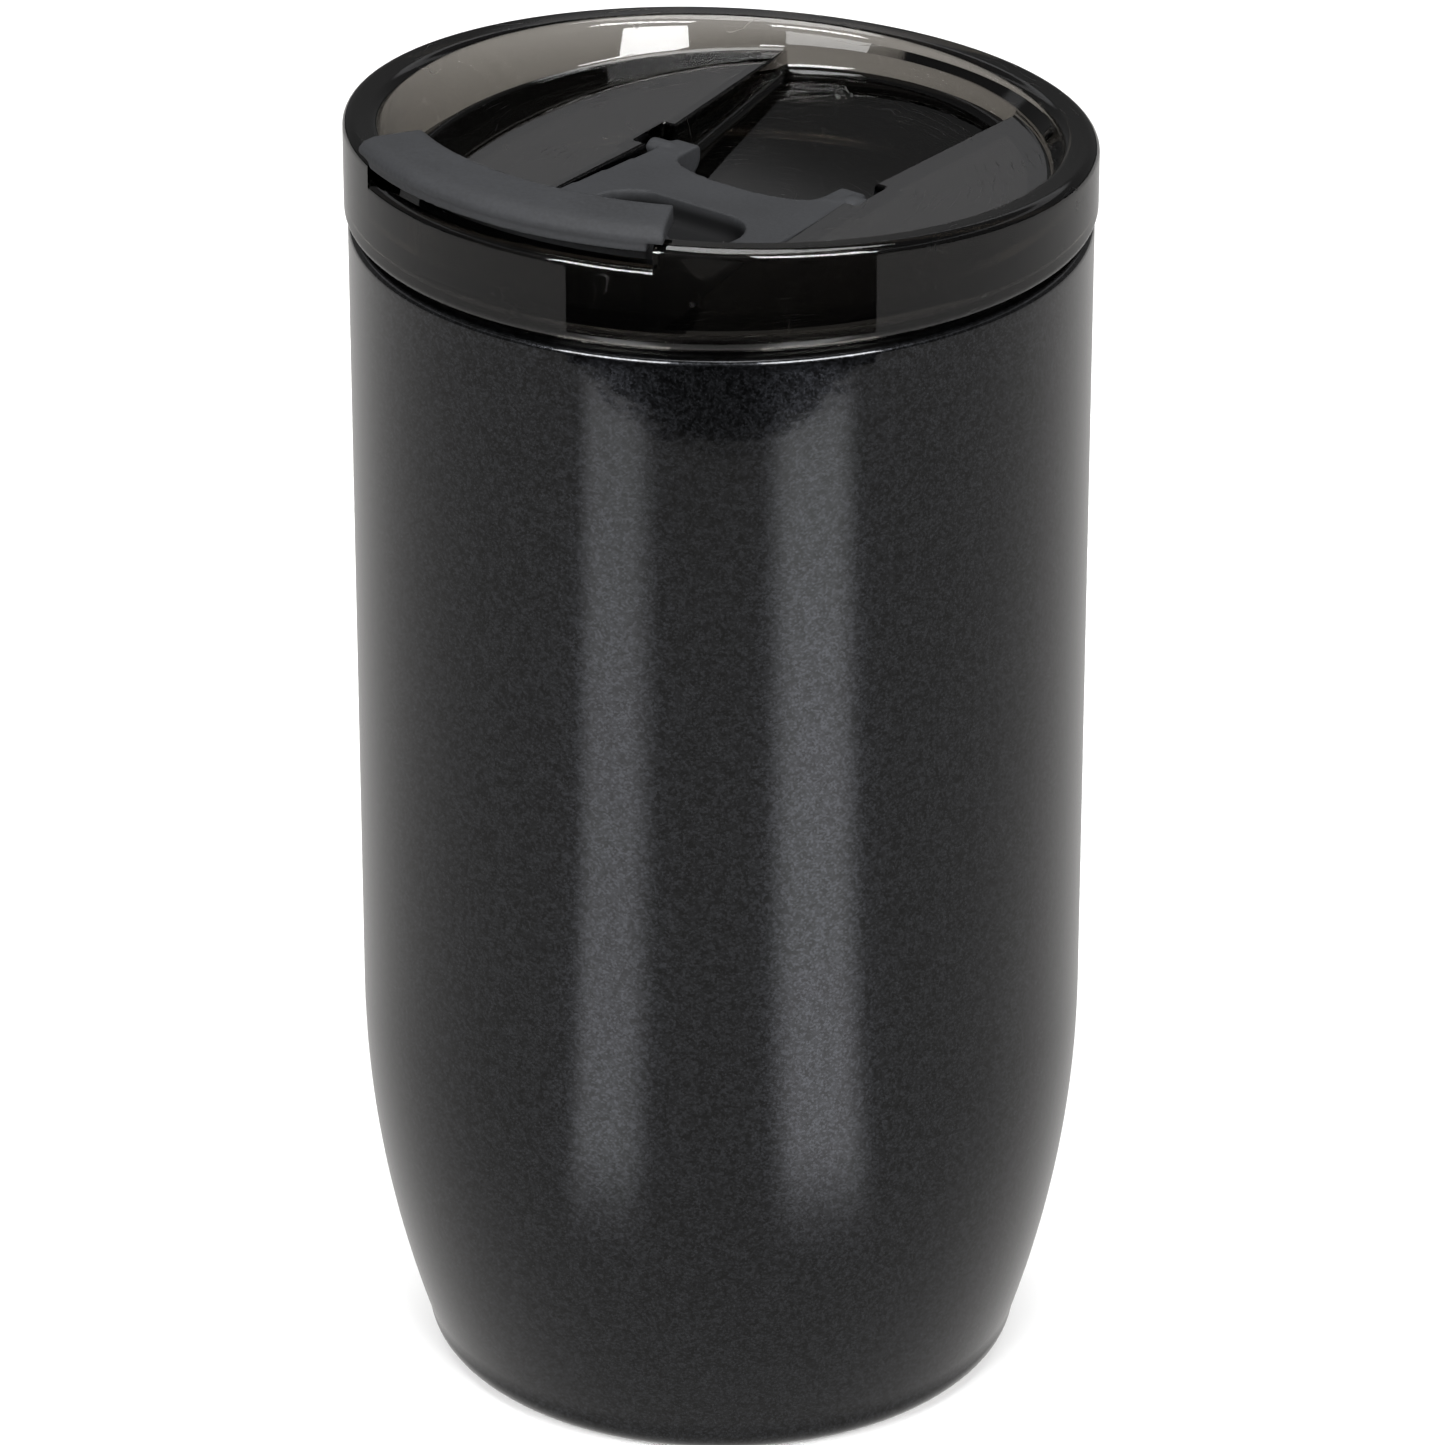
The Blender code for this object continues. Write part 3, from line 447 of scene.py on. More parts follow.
def brushed_steel(name, tone, roughness, rings, painted=None):
    """Bare stainless with fine turned lines round the axis and a few smudges.

    Outside and above a painted (radius, height) in metres the steel is coloured black and not metallic, as
    painted shade.
    """
    material, wire, output = new_material(name)
    place = wire.make("ShaderNodeTexCoord", out=3)
    x = wire.make("ShaderNodeSeparateXYZ", None, {0: place}, out=0)
    y = wire.make("ShaderNodeSeparateXYZ", None, {0: place}, out=1)
    z = wire.make("ShaderNodeSeparateXYZ", None, {0: place}, out=2)
    radius = (x * x + y * y) ** 0.5
    along = wire.make("ShaderNodeCombineXYZ", None, {0: radius * rings, 1: z * rings, 2: x * 8.0})
    lines = wire.make("ShaderNodeTexNoise", None, {"Vector": along, "Scale": 1.0, "Detail": 3.0})
    smudge = wire.make("ShaderNodeTexNoise", None, {"Vector": place, "Scale": 55.0, "Detail": 4.0})
    colour = smudge.between(0.35, 0.65).mix([c * 0.86 for c in tone], tone)
    bump = wire.make("ShaderNodeBump", None, {"Strength": 0.12, "Distance": 0.00004, "Height": lines})
    unshaded = wire.make("ShaderNodeValue")
    unshaded.socket.default_value = 1.0
    # painted shade: outside the liner's neck the steel turns black for the shaded seam under the lid
    if painted:
        unshaded = 1.0 - (radius > painted[0]) * (z > painted[1])
    finish_with(wire, output, {
        "Base Color": unshaded.mix((0.008, 0.008, 0.009), colour), "Metallic": unshaded, "Normal": bump,
        "Roughness": roughness + lines * 0.10 + smudge * 0.08,
    })
    return material


base_finish = brushed_steel("base_steel_finish", (0.52, 0.52, 0.53), 0.24, 5200.0)
high = DISC_LOW + DISC_WALL
disc = [(DISC_EDGE, DISC_LOW), (DISC_GROOVE_RADIUS + DISC_GROOVE_HALF, DISC_LOW)]
disc.append((DISC_GROOVE_RADIUS, DISC_LOW + DISC_GROOVE_DEPTH))
disc.append((DISC_GROOVE_RADIUS - DISC_GROOVE_HALF, DISC_LOW))
disc += [(DIMPLE_RADIUS + 0.5, DISC_LOW), (DIMPLE_RADIUS, DISC_LOW + 0.5)]
disc += [(DIMPLE_RADIUS, DISC_LOW + DIMPLE_DEPTH), (HOLE_RADIUS, DISC_LOW + DIMPLE_DEPTH)]
disc += [(HOLE_RADIUS, high + DIMPLE_DEPTH), (DIMPLE_RADIUS + DISC_WALL, high + DIMPLE_DEPTH)]
disc += [(DIMPLE_RADIUS + DISC_WALL, high), (DISC_EDGE, high)]
base_plate = turned("base_plate", disc, base_finish)
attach(base_plate, "cup")
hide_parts("base_disc")

glass, wire, output = new_material("seal_glass_finish")
place = wire.make("ShaderNodeTexCoord", out=3)
swirl = wire.make("ShaderNodeTexNoise", None, {"Vector": place, "Scale": 700.0, "Detail": 2.0})
finish_with(wire, output, {"Base Color": swirl.mix((0.16, 0.17, 0.18), (0.30, 0.31, 0.32)),
                           "Roughness": 0.12 + swirl * 0.2, "Coat Weight": 0.6})
powder, wire, output = new_material("getter_finish")
place = wire.make("ShaderNodeTexCoord", out=3)
pores = wire.make("ShaderNodeTexNoise", None, {"Vector": place, "Scale": 2600.0, "Detail": 4.0})
bump = wire.make("ShaderNodeBump", None, {"Strength": 0.5, "Distance": 0.0001, "Height": pores})
finish_with(wire, output, {"Base Color": pores.mix((0.14, 0.135, 0.13), (0.34, 0.33, 0.32)),
                           "Metallic": 0.7, "Roughness": 0.6, "Normal": bump})
for node, finish in (("seal_bead", glass), ("getter", powder)):
    frame["nodes"][node].data.materials.clear()
    frame["nodes"][node].data.materials.append(finish)


# Inner liner: deep-drawn stainless, polished inside with fine turned lines, its steel lip standing
# above the coated shoulder. The outside of its neck and lip is coloured black as painted shade.
LINER_RADIUS = LINER_OUTER - LINER_WALL
liner_low, liner_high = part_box("inner_liner")
LIP_Z = liner_high.z / MM
LINER_FLOOR = liner_low.z / MM + LINER_WALL
LINER_CORNER = 9.0
LIP_ROUND = LINER_WALL / 2

inset = BODY_RADIUS - LINER_RADIUS
corner_z = LINER_FLOOR + LINER_CORNER
corner = (body_radius(corner_z) - inset - LINER_CORNER, corner_z)
heights = spread(corner_z, KNEE_Z, 20)
lip = arc((LINER_RADIUS + LIP_ROUND, LIP_Z - LIP_ROUND), LIP_ROUND, 0, 180, 8)
liner = lip + [(LINER_RADIUS, LIP_Z - 1.0), (LINER_RADIUS, KNEE_Z + 1.0)]
liner += [(body_radius(z) - inset, z) for z in heights]
liner += arc(corner, LINER_CORNER, 0, -90, 12)[1:] + [(0.0, LINER_FLOOR)]
liner += [(0.0, LINER_FLOOR - LINER_WALL)] + arc(corner, LINER_CORNER + LINER_WALL, -90, 0, 12)
liner += [(body_radius(z) - inset + LINER_WALL, z) for z in reversed(heights[:-1])]
# Painted shade on the outer face of the neck and lip, from 2 mm below the shoulder up.
shaded_neck = ((LINER_RADIUS + LINER_WALL * 0.6) * MM, (SHOULDER_Z - 2.0) * MM)
liner_finish_with_neck_shade = brushed_steel("liner_finish_with_neck_shade", (0.56, 0.55, 0.54), 0.16, 2600.0, shaded_neck)
steel_liner = turned("steel_liner", liner, liner_finish_with_neck_shade)
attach(steel_liner, "cup")
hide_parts("inner_liner")


# Lid: one clear smoke-grey moulding with two flat decks either side of a channel for
# the lever, a sloping rim with a notch for the tab, and a plug that holds the gasket.
LID_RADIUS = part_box("lid_body")[1].x / MM
LID_BOTTOM_Z = SHOULDER_Z + 0.7
LID_BOTTOM_ROUND = 1.4
RIM_Z = LID_BOTTOM_Z + 10.5
RIM_LEAN = -0.061
RIM_WIDTH = 4.3
RIM_ROUND = 1.3
RIM_FALL = 0.16
WALL_BASE = LID_RADIUS - RIM_WIDTH - 1.2
WALL_FILLET = 0.7
DECK_Z = LID_BOTTOM_Z + 2.7
DECK_LEAN = 0.071
DECK_THICKNESS = 2.0
PLUG_TOP_RADIUS = LINER_RADIUS - 0.6
PLUG_RADIUS = PLUG_TOP_RADIUS - 2.1
PLUG_TOP_Z = LID_BOTTOM_Z - 7.0
PLUG_FOOT_Z = LID_BOTTOM_Z - 17.4
PLUG_BORE = PLUG_RADIUS - 1.8
BEAD_TOP_Z = PLUG_FOOT_Z + 1.4
BEAD_WIDTH = 0.8
LIP_GROOVE_RADIUS = LINER_OUTER + 0.5
CHANNEL_WAIST = 14.45
FRONT_FLARE = 0.061
REAR_FLARE = 0.089
CHANNEL_DEPTH = 5.4
CHANNEL_FLOOR = 2.0
CHANNEL_WALL = 2.2
CHANNEL_STEPS = 28
CREASE = (CHANNEL_STEPS + 1, 2 * CHANNEL_STEPS + 3)
REAR_RISE = 0.1
FLOOR_FILLET = 1.4
EDGE_ROUND = 0.35
hinge = next(joint for joint in frame["joints"] if joint["name"] == "lever_hinge")
HINGE_Y = hinge["pos_m"][1] / MM
HINGE_Z = hinge["pos_m"][2] / MM
FLOOR_Z = DECK_Z - CHANNEL_DEPTH
SLOT_HALF = 1.9
SLOT_LEAD_IN = 0.9
SLOT_REACH = 2.05
BOSS_WALL = 1.5
BOSS_ROOT = 0.7
SPOUT_Y = 8.0 - WALL_BASE
SPOUT_LENGTH = 18.0
SPOUT_WIDTH = 6.4
VENT_Y = HINGE_Y - 9.3
VENT_RADIUS = 1.1
NOTCH_HALF_ANGLE = 28.3
NOTCH_DEPTH = 2.6


def lean_plane(z, lean=0.0):
    """A flat surface through z on the axis, rising by lean along Y."""
    return lambda y: z + lean * y


def skin(name, rings, fold=None):
    """A closed solid over rings of (x, y, z) points in millimetres.

    fold gives two points of the first ring that a crease in its cap joins.
    """
    bm = bmesh.new()
    rows = [[bm.verts.new(Vector(point) * MM) for point in ring] for ring in rings]
    for near, far in zip(rows, rows[1:]):
        for i in range(len(near)):
            j = (i + 1) % len(near)
            bm.faces.new((near[i], near[j], far[j], far[i]))
    cap = bm.faces.new(rows[0])
    if fold:
        bmesh.utils.face_split(cap, rows[0][fold[0]], rows[0][fold[1]])
    bm.faces.new(rows[-1])
    bmesh.ops.recalc_face_normals(bm, faces=bm.faces)
    mesh = bpy.data.meshes.new(name)
    bm.to_mesh(mesh)
    bm.free()
    obj = bpy.data.objects.new(name, mesh)
    bpy.context.collection.objects.link(obj)
    return obj


def solid(name, layers, fold=None):
    """Join stacked plans into a closed solid; a layer is (outline, surface)."""
    return skin(name, [[(x, y, surface(y)) for x, y in outline] for outline, surface in layers], fold)


def combine(obj, other, operation):
    """Cut or add another solid for good; the other object is used up."""
    modifier = obj.modifiers.new("combine", "BOOLEAN")
    modifier.operation = operation
    modifier.solver = "EXACT"
    modifier.object = other
    graph = bpy.context.evaluated_depsgraph_get()
    mesh = bpy.data.meshes.new_from_object(obj.evaluated_get(graph), depsgraph=graph)
    obj.modifiers.clear()
    obj.data = mesh
    bpy.data.objects.remove(other, do_unlink=True)


def half_channel(y):
    """Half the channel's width at y."""
    flare = FRONT_FLARE * (HINGE_Y - y) if y < HINGE_Y else REAR_FLARE * (y - HINGE_Y)
    return CHANNEL_WAIST + flare


def channel_bed(z):
    """Surface through z on the axis that follows the decks and steepens behind the hinge."""
    return lambda y: z + DECK_LEAN * y + REAR_RISE * max(y - HINGE_Y, 0.0)


def channel_plan(grow, end_radius):
    """Plan of the channel grown sideways by grow, its ends on a circle."""
    corners = []
    for end in (-1, 1):
        y = end * end_radius
        for _ in range(20):
            y = end * math.sqrt(end_radius**2 - (half_channel(y) + grow) ** 2)
        corners.append(math.degrees(math.atan2(half_channel(y) + grow, abs(y))))
    front, rear = corners
    plan = arc((0, 0), end_radius, -90 - front, -90 + front, CHANNEL_STEPS)
    plan.append((CHANNEL_WAIST + grow, HINGE_Y))
    plan += arc((0, 0), end_radius, 90 - rear, 90 + rear, CHANNEL_STEPS)
    plan.append((-CHANNEL_WAIST - grow, HINGE_Y))
    return plan


def rounded_box(left, right, low, high, corner, steps=5):
    """Plan of a box with round corners."""
    plan = arc((right - corner, high - corner), corner, 0, 90, steps)
    plan += arc((left + corner, high - corner), corner, 90, 180, steps)
    plan += arc((left + corner, low + corner), corner, 180, 270, steps)
    plan += arc((right - corner, low + corner), corner, 270, 360, steps)
    return plan


def rim_section(drop):
    """The rim's outline from its inner edge over the top to its outer edge."""
    inner = (LID_RADIUS - RIM_WIDTH + RIM_ROUND, RIM_Z - RIM_FALL - RIM_ROUND - drop)
    outer = (LID_RADIUS - RIM_ROUND, RIM_Z - RIM_ROUND - drop)
    return arc(inner, RIM_ROUND, 180, 90, 10) + arc(outer, RIM_ROUND, 90, 0, 12)


plastic, wire, output = new_material("smoke_clear_finish")
place = wire.make("ShaderNodeTexCoord", out=3)
haze = wire.make("ShaderNodeTexNoise", None, {"Vector": place, "Scale": 140.0, "Detail": 5.0})
hair = wire.make("ShaderNodeTexWave", {"wave_type": "RINGS", "rings_direction": "Z"},
                 {"Vector": place, "Scale": 260.0, "Distortion": 9.0, "Detail": 2.0, "Detail Scale": 0.6})
scratch = hair.between(0.97, 1.0) * haze.between(0.5, 0.65)
relief = haze + scratch * 2.0
bump = wire.make("ShaderNodeBump", None, {"Strength": 0.05, "Distance": 0.00002, "Height": relief})
finish_with(wire, output, {
    "Base Color": haze.mix((0.98, 0.98, 0.98), (0.93, 0.93, 0.93)),
    "Roughness": 0.015 + scratch * 0.25 + haze * 0.02,
    "IOR": 1.5, "Transmission Weight": 1.0, "Normal": bump,
})
smoke = wire.make("ShaderNodeVolumeAbsorption", None, {"Color": (0.40, 0.378, 0.345, 1.0), "Density": 620.0})
wire.tree.links.new(smoke.socket, output.inputs["Volume"])

deck_fillet = arc((WALL_BASE - WALL_FILLET, DECK_Z + WALL_FILLET), WALL_FILLET, -90, -12, 7)
section = [(0.0, DECK_Z, DECK_LEAN)] + [(r, z, DECK_LEAN) for r, z in deck_fillet]
section += [(r, z, RIM_LEAN) for r, z in rim_section(0.0)]
bottom = (LID_RADIUS - LID_BOTTOM_ROUND, LID_BOTTOM_Z + LID_BOTTOM_ROUND)
section += arc(bottom, LID_BOTTOM_ROUND, 0, -90, 14)
section += [(LIP_GROOVE_RADIUS, LID_BOTTOM_Z), (LIP_GROOVE_RADIUS, LIP_Z + GAP)]
section.append((PLUG_TOP_RADIUS, LIP_Z + GAP))
section += arc((PLUG_TOP_RADIUS - 0.6, PLUG_TOP_Z + 0.6), 0.6, 0, -90, 5)
section += [(PLUG_RADIUS, PLUG_TOP_Z), (PLUG_RADIUS, BEAD_TOP_Z), (PLUG_RADIUS + BEAD_WIDTH, BEAD_TOP_Z)]
section += arc((PLUG_RADIUS + 0.3, PLUG_FOOT_Z + 0.5), 0.5, 0, -90, 4)
section += [(PLUG_BORE, PLUG_FOOT_Z), (PLUG_BORE, DECK_Z - DECK_THICKNESS, DECK_LEAN)]
section += [(0.0, DECK_Z - DECK_THICKNESS, DECK_LEAN)]
lid = turned("clear_lid", section, plastic)

under_deck = lean_plane(DECK_Z - DECK_THICKNESS / 2, DECK_LEAN)
tray_low = FLOOR_Z - CHANNEL_FLOOR
tray = solid("tray", [
    (channel_plan(CHANNEL_WALL - 0.8, PLUG_BORE), channel_bed(tray_low)),
    (channel_plan(CHANNEL_WALL, PLUG_BORE + 0.8), channel_bed(tray_low + 0.8)),
    (channel_plan(CHANNEL_WALL, PLUG_BORE + 0.8), under_deck),
], CREASE)
combine(lid, tray, "UNION")
for side in (-1, 1):
    ends = sorted((side * (CHANNEL_WAIST + BOSS_ROOT), side * (CHANNEL_WAIST + SLOT_REACH + BOSS_WALL)))
    reach = SLOT_HALF + SLOT_LEAD_IN + BOSS_WALL
    boss_plan = rounded_box(*ends, HINGE_Y - reach, HINGE_Y + reach, 0.5)
    boss = solid("boss", [(boss_plan, lean_plane(HINGE_Z - SLOT_HALF - BOSS_WALL)), (boss_plan, under_deck)])
    combine(lid, boss, "UNION")

end_radius = WALL_BASE + 0.03
layers = []
for angle in range(0, 91, 15):
    turn_in = FLOOR_FILLET * (1 - math.sin(math.radians(angle)))
    rise = FLOOR_FILLET * (1 - math.cos(math.radians(angle)))
    layers.append((channel_plan(-turn_in, end_radius - turn_in), channel_bed(FLOOR_Z + rise)))
for angle in range(0, 81, 16):
    turn_out = EDGE_ROUND * (1 - math.cos(math.radians(angle)))
    fall = EDGE_ROUND * (1 - math.sin(math.radians(angle)))
    layers.append((channel_plan(turn_out, end_radius), lean_plane(DECK_Z - fall, DECK_LEAN)))
layers.append((channel_plan(EDGE_ROUND, end_radius), lean_plane(DECK_Z + WALL_FILLET, DECK_LEAN)))
combine(lid, solid("channel", layers, CREASE), "DIFFERENCE")

for side in (-1, 1):
    ends = sorted((side * (CHANNEL_WAIST - 1.0), side * (CHANNEL_WAIST + SLOT_REACH)))
    slot_layers = []
    for grow, surface in (
        (0.0, lean_plane(HINGE_Z - SLOT_HALF)),
        (SLOT_LEAD_IN, lean_plane(DECK_Z - EDGE_ROUND, DECK_LEAN)),
        (SLOT_LEAD_IN + 0.1, lean_plane(DECK_Z - EDGE_ROUND / 3, DECK_LEAN)),
        (SLOT_LEAD_IN + EDGE_ROUND, lean_plane(DECK_Z + 0.02, DECK_LEAN)),
        (SLOT_LEAD_IN + EDGE_ROUND, lean_plane(DECK_Z + 0.5, DECK_LEAN)),
    ):
        reach = SLOT_HALF + grow
        slot_layers.append((rounded_box(*ends, HINGE_Y - reach, HINGE_Y + reach, 0.4), surface))
    combine(lid, solid("slot", slot_layers), "DIFFERENCE")


def oblong(length, width, y):
    """Plan of a slot along X with round ends."""
    return rounded_box(-length / 2, length / 2, y - width / 2, y + width / 2, width / 2 - 1e-3, 14)


hole = oblong(SPOUT_LENGTH, SPOUT_WIDTH, SPOUT_Y)
vent = arc((0.0, VENT_Y), VENT_RADIUS, 0, 345, 23)
for name, plan in (("spout_hole", hole), ("vent_hole", vent)):
    drill = solid(name, [(plan, lean_plane(tray_low - 4)), (plan, lean_plane(DECK_Z))])
    combine(lid, drill, "DIFFERENCE")


def rim_sweep(name, section, half_angle, half_steps):
    """A section of (radius, height) swept round the rim by half_angle degrees either side of the spout."""
    rings = []
    for i in range(2 * half_steps + 1):
        angle = math.radians(half_angle * (i / half_steps - 1))
        ring = []
        for radius, z in section:
            y = -radius * math.cos(angle)
            ring.append((radius * math.sin(angle), y, z + RIM_LEAN * y))
        rings.append(ring)
    return skin(name, rings)


notch_edge = RIM_Z - NOTCH_DEPTH - RIM_ROUND
notch = [(WALL_BASE - 2.0, RIM_Z + 8.0), (WALL_BASE - 2.0, notch_edge - RIM_FALL)]
notch += rim_section(NOTCH_DEPTH) + [(LID_RADIUS + 0.02, notch_edge)]
notch += [(LID_RADIUS + 2.0, notch_edge), (LID_RADIUS + 2.0, RIM_Z + 8.0)]
combine(lid, rim_sweep("notch", notch, NOTCH_HALF_ANGLE, 20), "DIFFERENCE")

mesh = lid.data
mesh.materials.clear()
mesh.materials.append(plastic)
mesh.shade_smooth()
mesh.set_sharp_from_angle(angle=math.radians(32))
weighted = lid.modifiers.new("even_shading", "WEIGHTED_NORMAL")
weighted.keep_sharp = True
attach(lid, "lid")
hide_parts("lid_body")


# Gasket: a black silicone sleeve on the plug with four soft fins that wipe the liner.
FINS = 4
FIN_HEIGHT = 0.8
gasket_inner = PLUG_RADIUS + GAP
gasket_root = gasket_inner + 0.7
gasket_tip = LINER_RADIUS - 0.35
gasket_low = BEAD_TOP_Z + GAP
gasket_high = PLUG_TOP_Z - GAP
pitch = (gasket_high - gasket_low - FIN_HEIGHT) / (FINS - 1)
outline = [(gasket_inner, gasket_low)]
for i in range(FINS):
    z = gasket_low + i * pitch
    tip = (gasket_tip - FIN_HEIGHT * 0.3, z + FIN_HEIGHT * 0.62)
    outline += [(gasket_root, z + 0.02)] + arc(tip, FIN_HEIGHT * 0.3, -60, 80, 5)
    outline += [(gasket_root, z + FIN_HEIGHT)]
outline.append((gasket_inner, gasket_high))


def moulded(name, dark, light, roughness, grain_scale, depth, shade_well=None):
    """Moulded rubber or plastic: an even tone with a fine eroded texture.

    A shade_well gives (half width, front, rear, top) in metres of a hollow whose colour is darkened as
    painted shade.
    """
    material, wire, output = new_material(name)
    place = wire.make("ShaderNodeTexCoord", out=3)
    grain = wire.make("ShaderNodeTexNoise", None, {"Vector": place, "Scale": grain_scale, "Detail": 3.0})
    wear = wire.make("ShaderNodeTexNoise", None, {"Vector": place, "Scale": 90.0, "Detail": 5.0})
    bump = wire.make("ShaderNodeBump", None, {"Strength": 0.35, "Distance": depth, "Height": grain})
    colour = (grain * 0.6 + wear * 0.4).between(0.3, 0.7).mix(dark, light)
    if shade_well:
        x = wire.make("ShaderNodeSeparateXYZ", None, {0: place}, out=0).math("ABSOLUTE")
        y = wire.make("ShaderNodeSeparateXYZ", None, {0: place}, out=1)
        z = wire.make("ShaderNodeSeparateXYZ", None, {0: place}, out=2)
        inside = (1.0 - (x > shade_well[0])) * (y > shade_well[1]) * (1.0 - (y > shade_well[2]))
        inside = inside * (1.0 - z.between(shade_well[3] - 0.0012, shade_well[3]))
        # painted shade: inside the hollow the colour drops to a quarter of the dark tone
        colour = inside.mix(colour, [c * 0.25 for c in dark])
    finish_with(wire, output, {
        "Base Color": colour, "Normal": bump,
        "Roughness": roughness - 0.08 + wear * 0.12 + grain * 0.08, "Specular IOR Level": 0.12,
    })
    return material


rubber = moulded("gasket_finish", (0.020, 0.020, 0.022), (0.032, 0.032, 0.035), 0.50, 1500.0, 0.00003)
gasket = turned("plug_gasket", outline, rubber)
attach(gasket, "lid")
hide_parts("lid_gasket")


# Lever: a matt moulding that turns on two stubs in the lid's slots. A flat plate
# sweeps up into a curved tab, whose lip hangs in the rim's notch.
LEVER_SIDE = 0.4
LEVER_UNDER = 1.2
LEVER_TOP_Z = DECK_Z - 0.6
RAMP_START = HINGE_Y - 29.0
RAMP_END = 3.0 - WALL_BASE
HUB_RADIUS = 2.4
HUB_CROWN = 0.1
STUB_RADIUS = 1.5
STUB_LENGTH = 1.7
ARM_WIDTH = 3.6
SCOOP_DEPTH = 5.2
SCOOP_FULLNESS = 0.6
TAB_HALF_ANGLE = 30.0
TAB_INNER = WALL_BASE - 1.8
TAB_OUTER = LID_RADIUS + 0.7
TAB_THICKNESS = 2.3
TAB_LIP_ANGLE = 27.4
TAB_LIP_DROP = 1.2
POCKET_HALF = 10.3
POCKET_CORNER = 5.0
POCKET_REAR = HINGE_Y - 12.5
POCKET_FRONT = SPOUT_Y + SPOUT_WIDTH / 2 + 1.3
POCKET_FLOOR = LEVER_TOP_Z - 3.2
POCKET_MARGIN = 0.5
SOCKET_LENGTH = SPOUT_LENGTH - 3.2
SOCKET_WIDTH = SPOUT_WIDTH - 0.6
SOCKET_TOP = FLOOR_Z + LEVER_UNDER + DECK_LEAN * SPOUT_Y + 8.0
PEG_RADIUS = 1.2
PEG_TOP = FLOOR_Z + LEVER_UNDER + DECK_LEAN * VENT_Y + 1.8
SKIN = 0.3
SOFTENING = 5


def ramp_top(y):
    """Top of the lever: level near the hinge, then a smooth rise to the tab."""
    t = min(max((RAMP_START - y) / (RAMP_START - RAMP_END), 0.0), 1.0)
    top = RIM_Z + RIM_LEAN * RAMP_END + GAP + TAB_THICKNESS / 2
    return LEVER_TOP_Z + (top - LEVER_TOP_Z) * t * t * (3 - 2 * t)


under_lever = lean_plane(FLOOR_Z + LEVER_UNDER, DECK_LEAN)
front_radius = WALL_BASE - LEVER_SIDE
rows = [(half_channel(y) - LEVER_SIDE, y) for y in spread(SPOUT_Y, HINGE_Y, 40)]
edge = math.asin(rows[-1][0] / front_radius)
for i in range(13):
    angle = edge * (1 - 0.9 * i / 12)
    rows.append((front_radius * math.sin(angle), -front_radius * math.cos(angle)))
rings = []
for half, y in rows:
    high = ramp_top(y)
    low = under_lever(y)
    rings.append([(-half, y, high), (half, y, high), (half, y, low), (-half, y, low)])
lever = skin("lever", rings)


def bar(radius, low_x, high_x, top):
    """A bar on the hinge axis, round but flat above top."""
    rim = arc((HINGE_Y, HINGE_Z), radius, 0, 350, 35)
    return skin("bar", [[(x, y, min(z, top)) for y, z in rim] for x in (low_x, high_x)])


arm_outer = CHANNEL_WAIST - LEVER_SIDE
for side in (-1, 1):
    ends = sorted((side * (arm_outer - ARM_WIDTH), side * arm_outer))
    combine(lever, bar(HUB_RADIUS, *ends, LEVER_TOP_Z + HUB_CROWN), "UNION")
scoop_half = arm_outer - ARM_WIDTH
scoop = [(-scoop_half, HINGE_Y + 7.0)]
for i in range(41):
    angle = math.pi * i / 40
    depth = SCOOP_DEPTH * max(math.sin(angle), 0.0) ** SCOOP_FULLNESS
    scoop.append((-scoop_half * math.cos(angle), HINGE_Y - depth))
scoop.append((scoop_half, HINGE_Y + 7.0))
scoop_cut = solid("scoop", [(scoop, lean_plane(FLOOR_Z - 1.0)), (scoop, lean_plane(DECK_Z + 4.0))])
combine(lever, scoop_cut, "DIFFERENCE")
layers = []
for grow, z in (
    (-1.0, POCKET_FLOOR),
    (-0.4, POCKET_FLOOR + 0.2),
    (0.0, POCKET_FLOOR + 0.8),
    (0.0, RIM_Z + 10.0),
):
    plan = rounded_box(-POCKET_HALF - grow, POCKET_HALF + grow, POCKET_FRONT - grow, POCKET_REAR + grow,
                       POCKET_CORNER + grow, 8)
    layers.append((plan, lean_plane(z)))
combine(lever, solid("pocket", layers), "DIFFERENCE")

tab_foot = RIM_Z + GAP
tab_top = tab_foot + TAB_THICKNESS
tab = [(TAB_INNER, tab_foot), (TAB_INNER, tab_top - 0.4), (TAB_INNER + 0.4, tab_top)]
tab += [(TAB_OUTER - 2.2, tab_top - 0.3), (TAB_OUTER - 1.2, tab_top - 0.5)]
tab += [(TAB_OUTER - 0.5, tab_top - 0.9), (TAB_OUTER, tab_top - 1.5)]
tab += [(TAB_OUTER, tab_foot + 0.25), (TAB_OUTER - 0.25, tab_foot)]
combine(lever, rim_sweep("tab", tab, TAB_HALF_ANGLE, 36), "UNION")
lip = [(TAB_OUTER - 3.0, tab_foot + 0.8), (TAB_OUTER - 0.4, tab_foot + 0.8)]
lip += [(TAB_OUTER - 0.5, tab_foot - TAB_LIP_DROP), (TAB_OUTER - 2.6, tab_foot - TAB_LIP_DROP)]
combine(lever, rim_sweep("tab_lip", lip, TAB_LIP_ANGLE, 28), "UNION")
for side in (-1, 1):
    ends = sorted((side * (arm_outer - 1.0), side * (CHANNEL_WAIST + STUB_LENGTH)))
    combine(lever, bar(STUB_RADIUS, *ends, HINGE_Z + STUB_RADIUS), "UNION")
socket = oblong(SOCKET_LENGTH, SOCKET_WIDTH, SPOUT_Y)
socket_cut = solid("socket", [(socket, lean_plane(FLOOR_Z - 6)), (socket, lean_plane(SOCKET_TOP))])
combine(lever, socket_cut, "DIFFERENCE")
peg = arc((0.0, VENT_Y), PEG_RADIUS + GAP, 0, 345, 23)
peg_cut = solid("peg_hole", [(peg, lean_plane(FLOOR_Z - 6)), (peg, lean_plane(PEG_TOP + GAP))])
combine(lever, peg_cut, "DIFFERENCE")

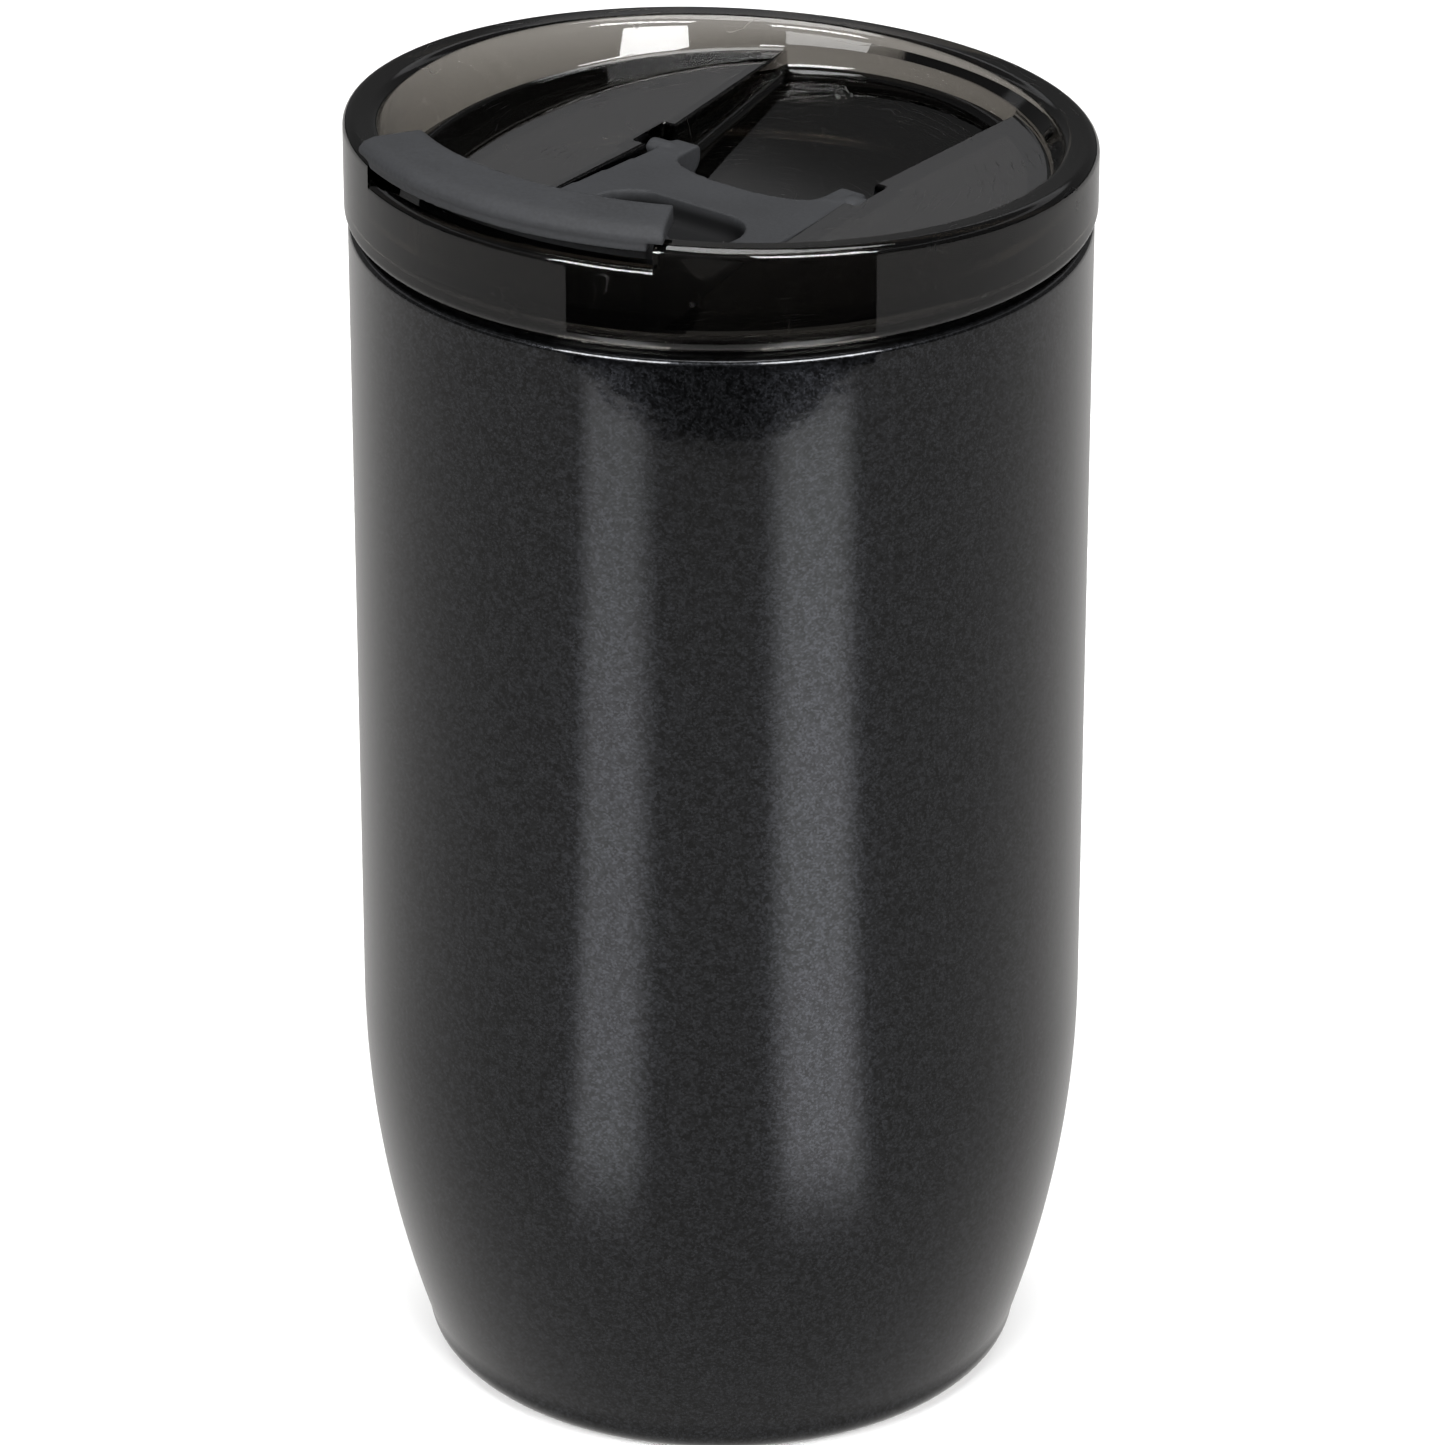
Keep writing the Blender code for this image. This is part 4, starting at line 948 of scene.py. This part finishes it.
remesh = lever.modifiers.new("skin", "REMESH")
remesh.mode = "VOXEL"
remesh.voxel_size = SKIN * MM
soften = lever.modifiers.new("soften", "SMOOTH")
soften.factor = 0.5
soften.iterations = SOFTENING
plain_mesh(lever)
lever.data.shade_smooth()
# The lever's pocket gets painted shade: its colour is darkened below the top of this box.
shade_well = [size * MM for size in (POCKET_HALF + POCKET_MARGIN, POCKET_FRONT - POCKET_MARGIN,
                               POCKET_REAR + POCKET_MARGIN, LEVER_TOP_Z - 0.3)]
slate = ((0.019, 0.0195, 0.0208), (0.026, 0.027, 0.0292))
lever_finish_with_pocket_shade = moulded("lever_finish_with_pocket_shade", *slate, 0.60, 2600.0, 0.00002, shade_well)
lever.data.materials.clear()
lever.data.materials.append(lever_finish_with_pocket_shade)
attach(lever, "lever")
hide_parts("flip_lever")


# Stoppers: soft silicone pressed into the lever's underside, an oblong one that
# closes the spout hole and a button over the vent.
STOPPER_FLANGE = 1.3
STOPPER_CLEARANCE = 0.55
STOPPER_TAPER = 0.5
STOPPER_DEPTH = 1.6
FLANGE_ROUND = 0.2
BUTTON_RADIUS = 2.6

silicone = moulded("stopper_finish", (0.030, 0.034, 0.040), (0.044, 0.049, 0.056), 0.55, 1800.0, 0.00002)
flange_low = lean_plane(FLOOR_Z + GAP, DECK_LEAN)
flange_high = lean_plane(FLOOR_Z + LEVER_UNDER - GAP, DECK_LEAN)
plug_low = FLOOR_Z - STOPPER_DEPTH
layers = []
for shrink, surface in (
    (STOPPER_CLEARANCE + STOPPER_TAPER + 0.3, lean_plane(plug_low, DECK_LEAN)),
    (STOPPER_CLEARANCE + STOPPER_TAPER, lean_plane(plug_low + 0.3, DECK_LEAN)),
    (STOPPER_CLEARANCE, flange_low),
    (FLANGE_ROUND - STOPPER_FLANGE, flange_low),
    (-STOPPER_FLANGE, lean_plane(FLOOR_Z + LEVER_UNDER / 2, DECK_LEAN)),
    (FLANGE_ROUND - STOPPER_FLANGE, flange_high),
):
    layers.append((oblong(SPOUT_LENGTH - 2 * shrink, SPOUT_WIDTH - 2 * shrink, SPOUT_Y), surface))
stem = oblong(SOCKET_LENGTH - 2 * GAP, SOCKET_WIDTH - 2 * GAP, SPOUT_Y)
layers += [(stem, flange_high), (stem, lean_plane(SOCKET_TOP - GAP - 0.3))]
stopper = solid("spout_plug", layers)
layers = []
for radius, surface in (
    (BUTTON_RADIUS - FLANGE_ROUND, flange_low),
    (BUTTON_RADIUS, lean_plane(FLOOR_Z + LEVER_UNDER / 2, DECK_LEAN)),
    (BUTTON_RADIUS - FLANGE_ROUND, flange_high),
    (PEG_RADIUS, flange_high),
    (PEG_RADIUS, lean_plane(PEG_TOP)),
):
    layers.append((arc((0.0, VENT_Y), radius, 0, 350, 35), surface))
button = solid("vent_button", layers)
for piece, node in ((stopper, "spout_stopper"), (button, "vent_stopper")):
    piece.data.shade_smooth()
    piece.data.set_sharp_from_angle(angle=math.radians(50))
    piece.data.materials.append(silicone)
    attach(piece, "lever")
    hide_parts(node)
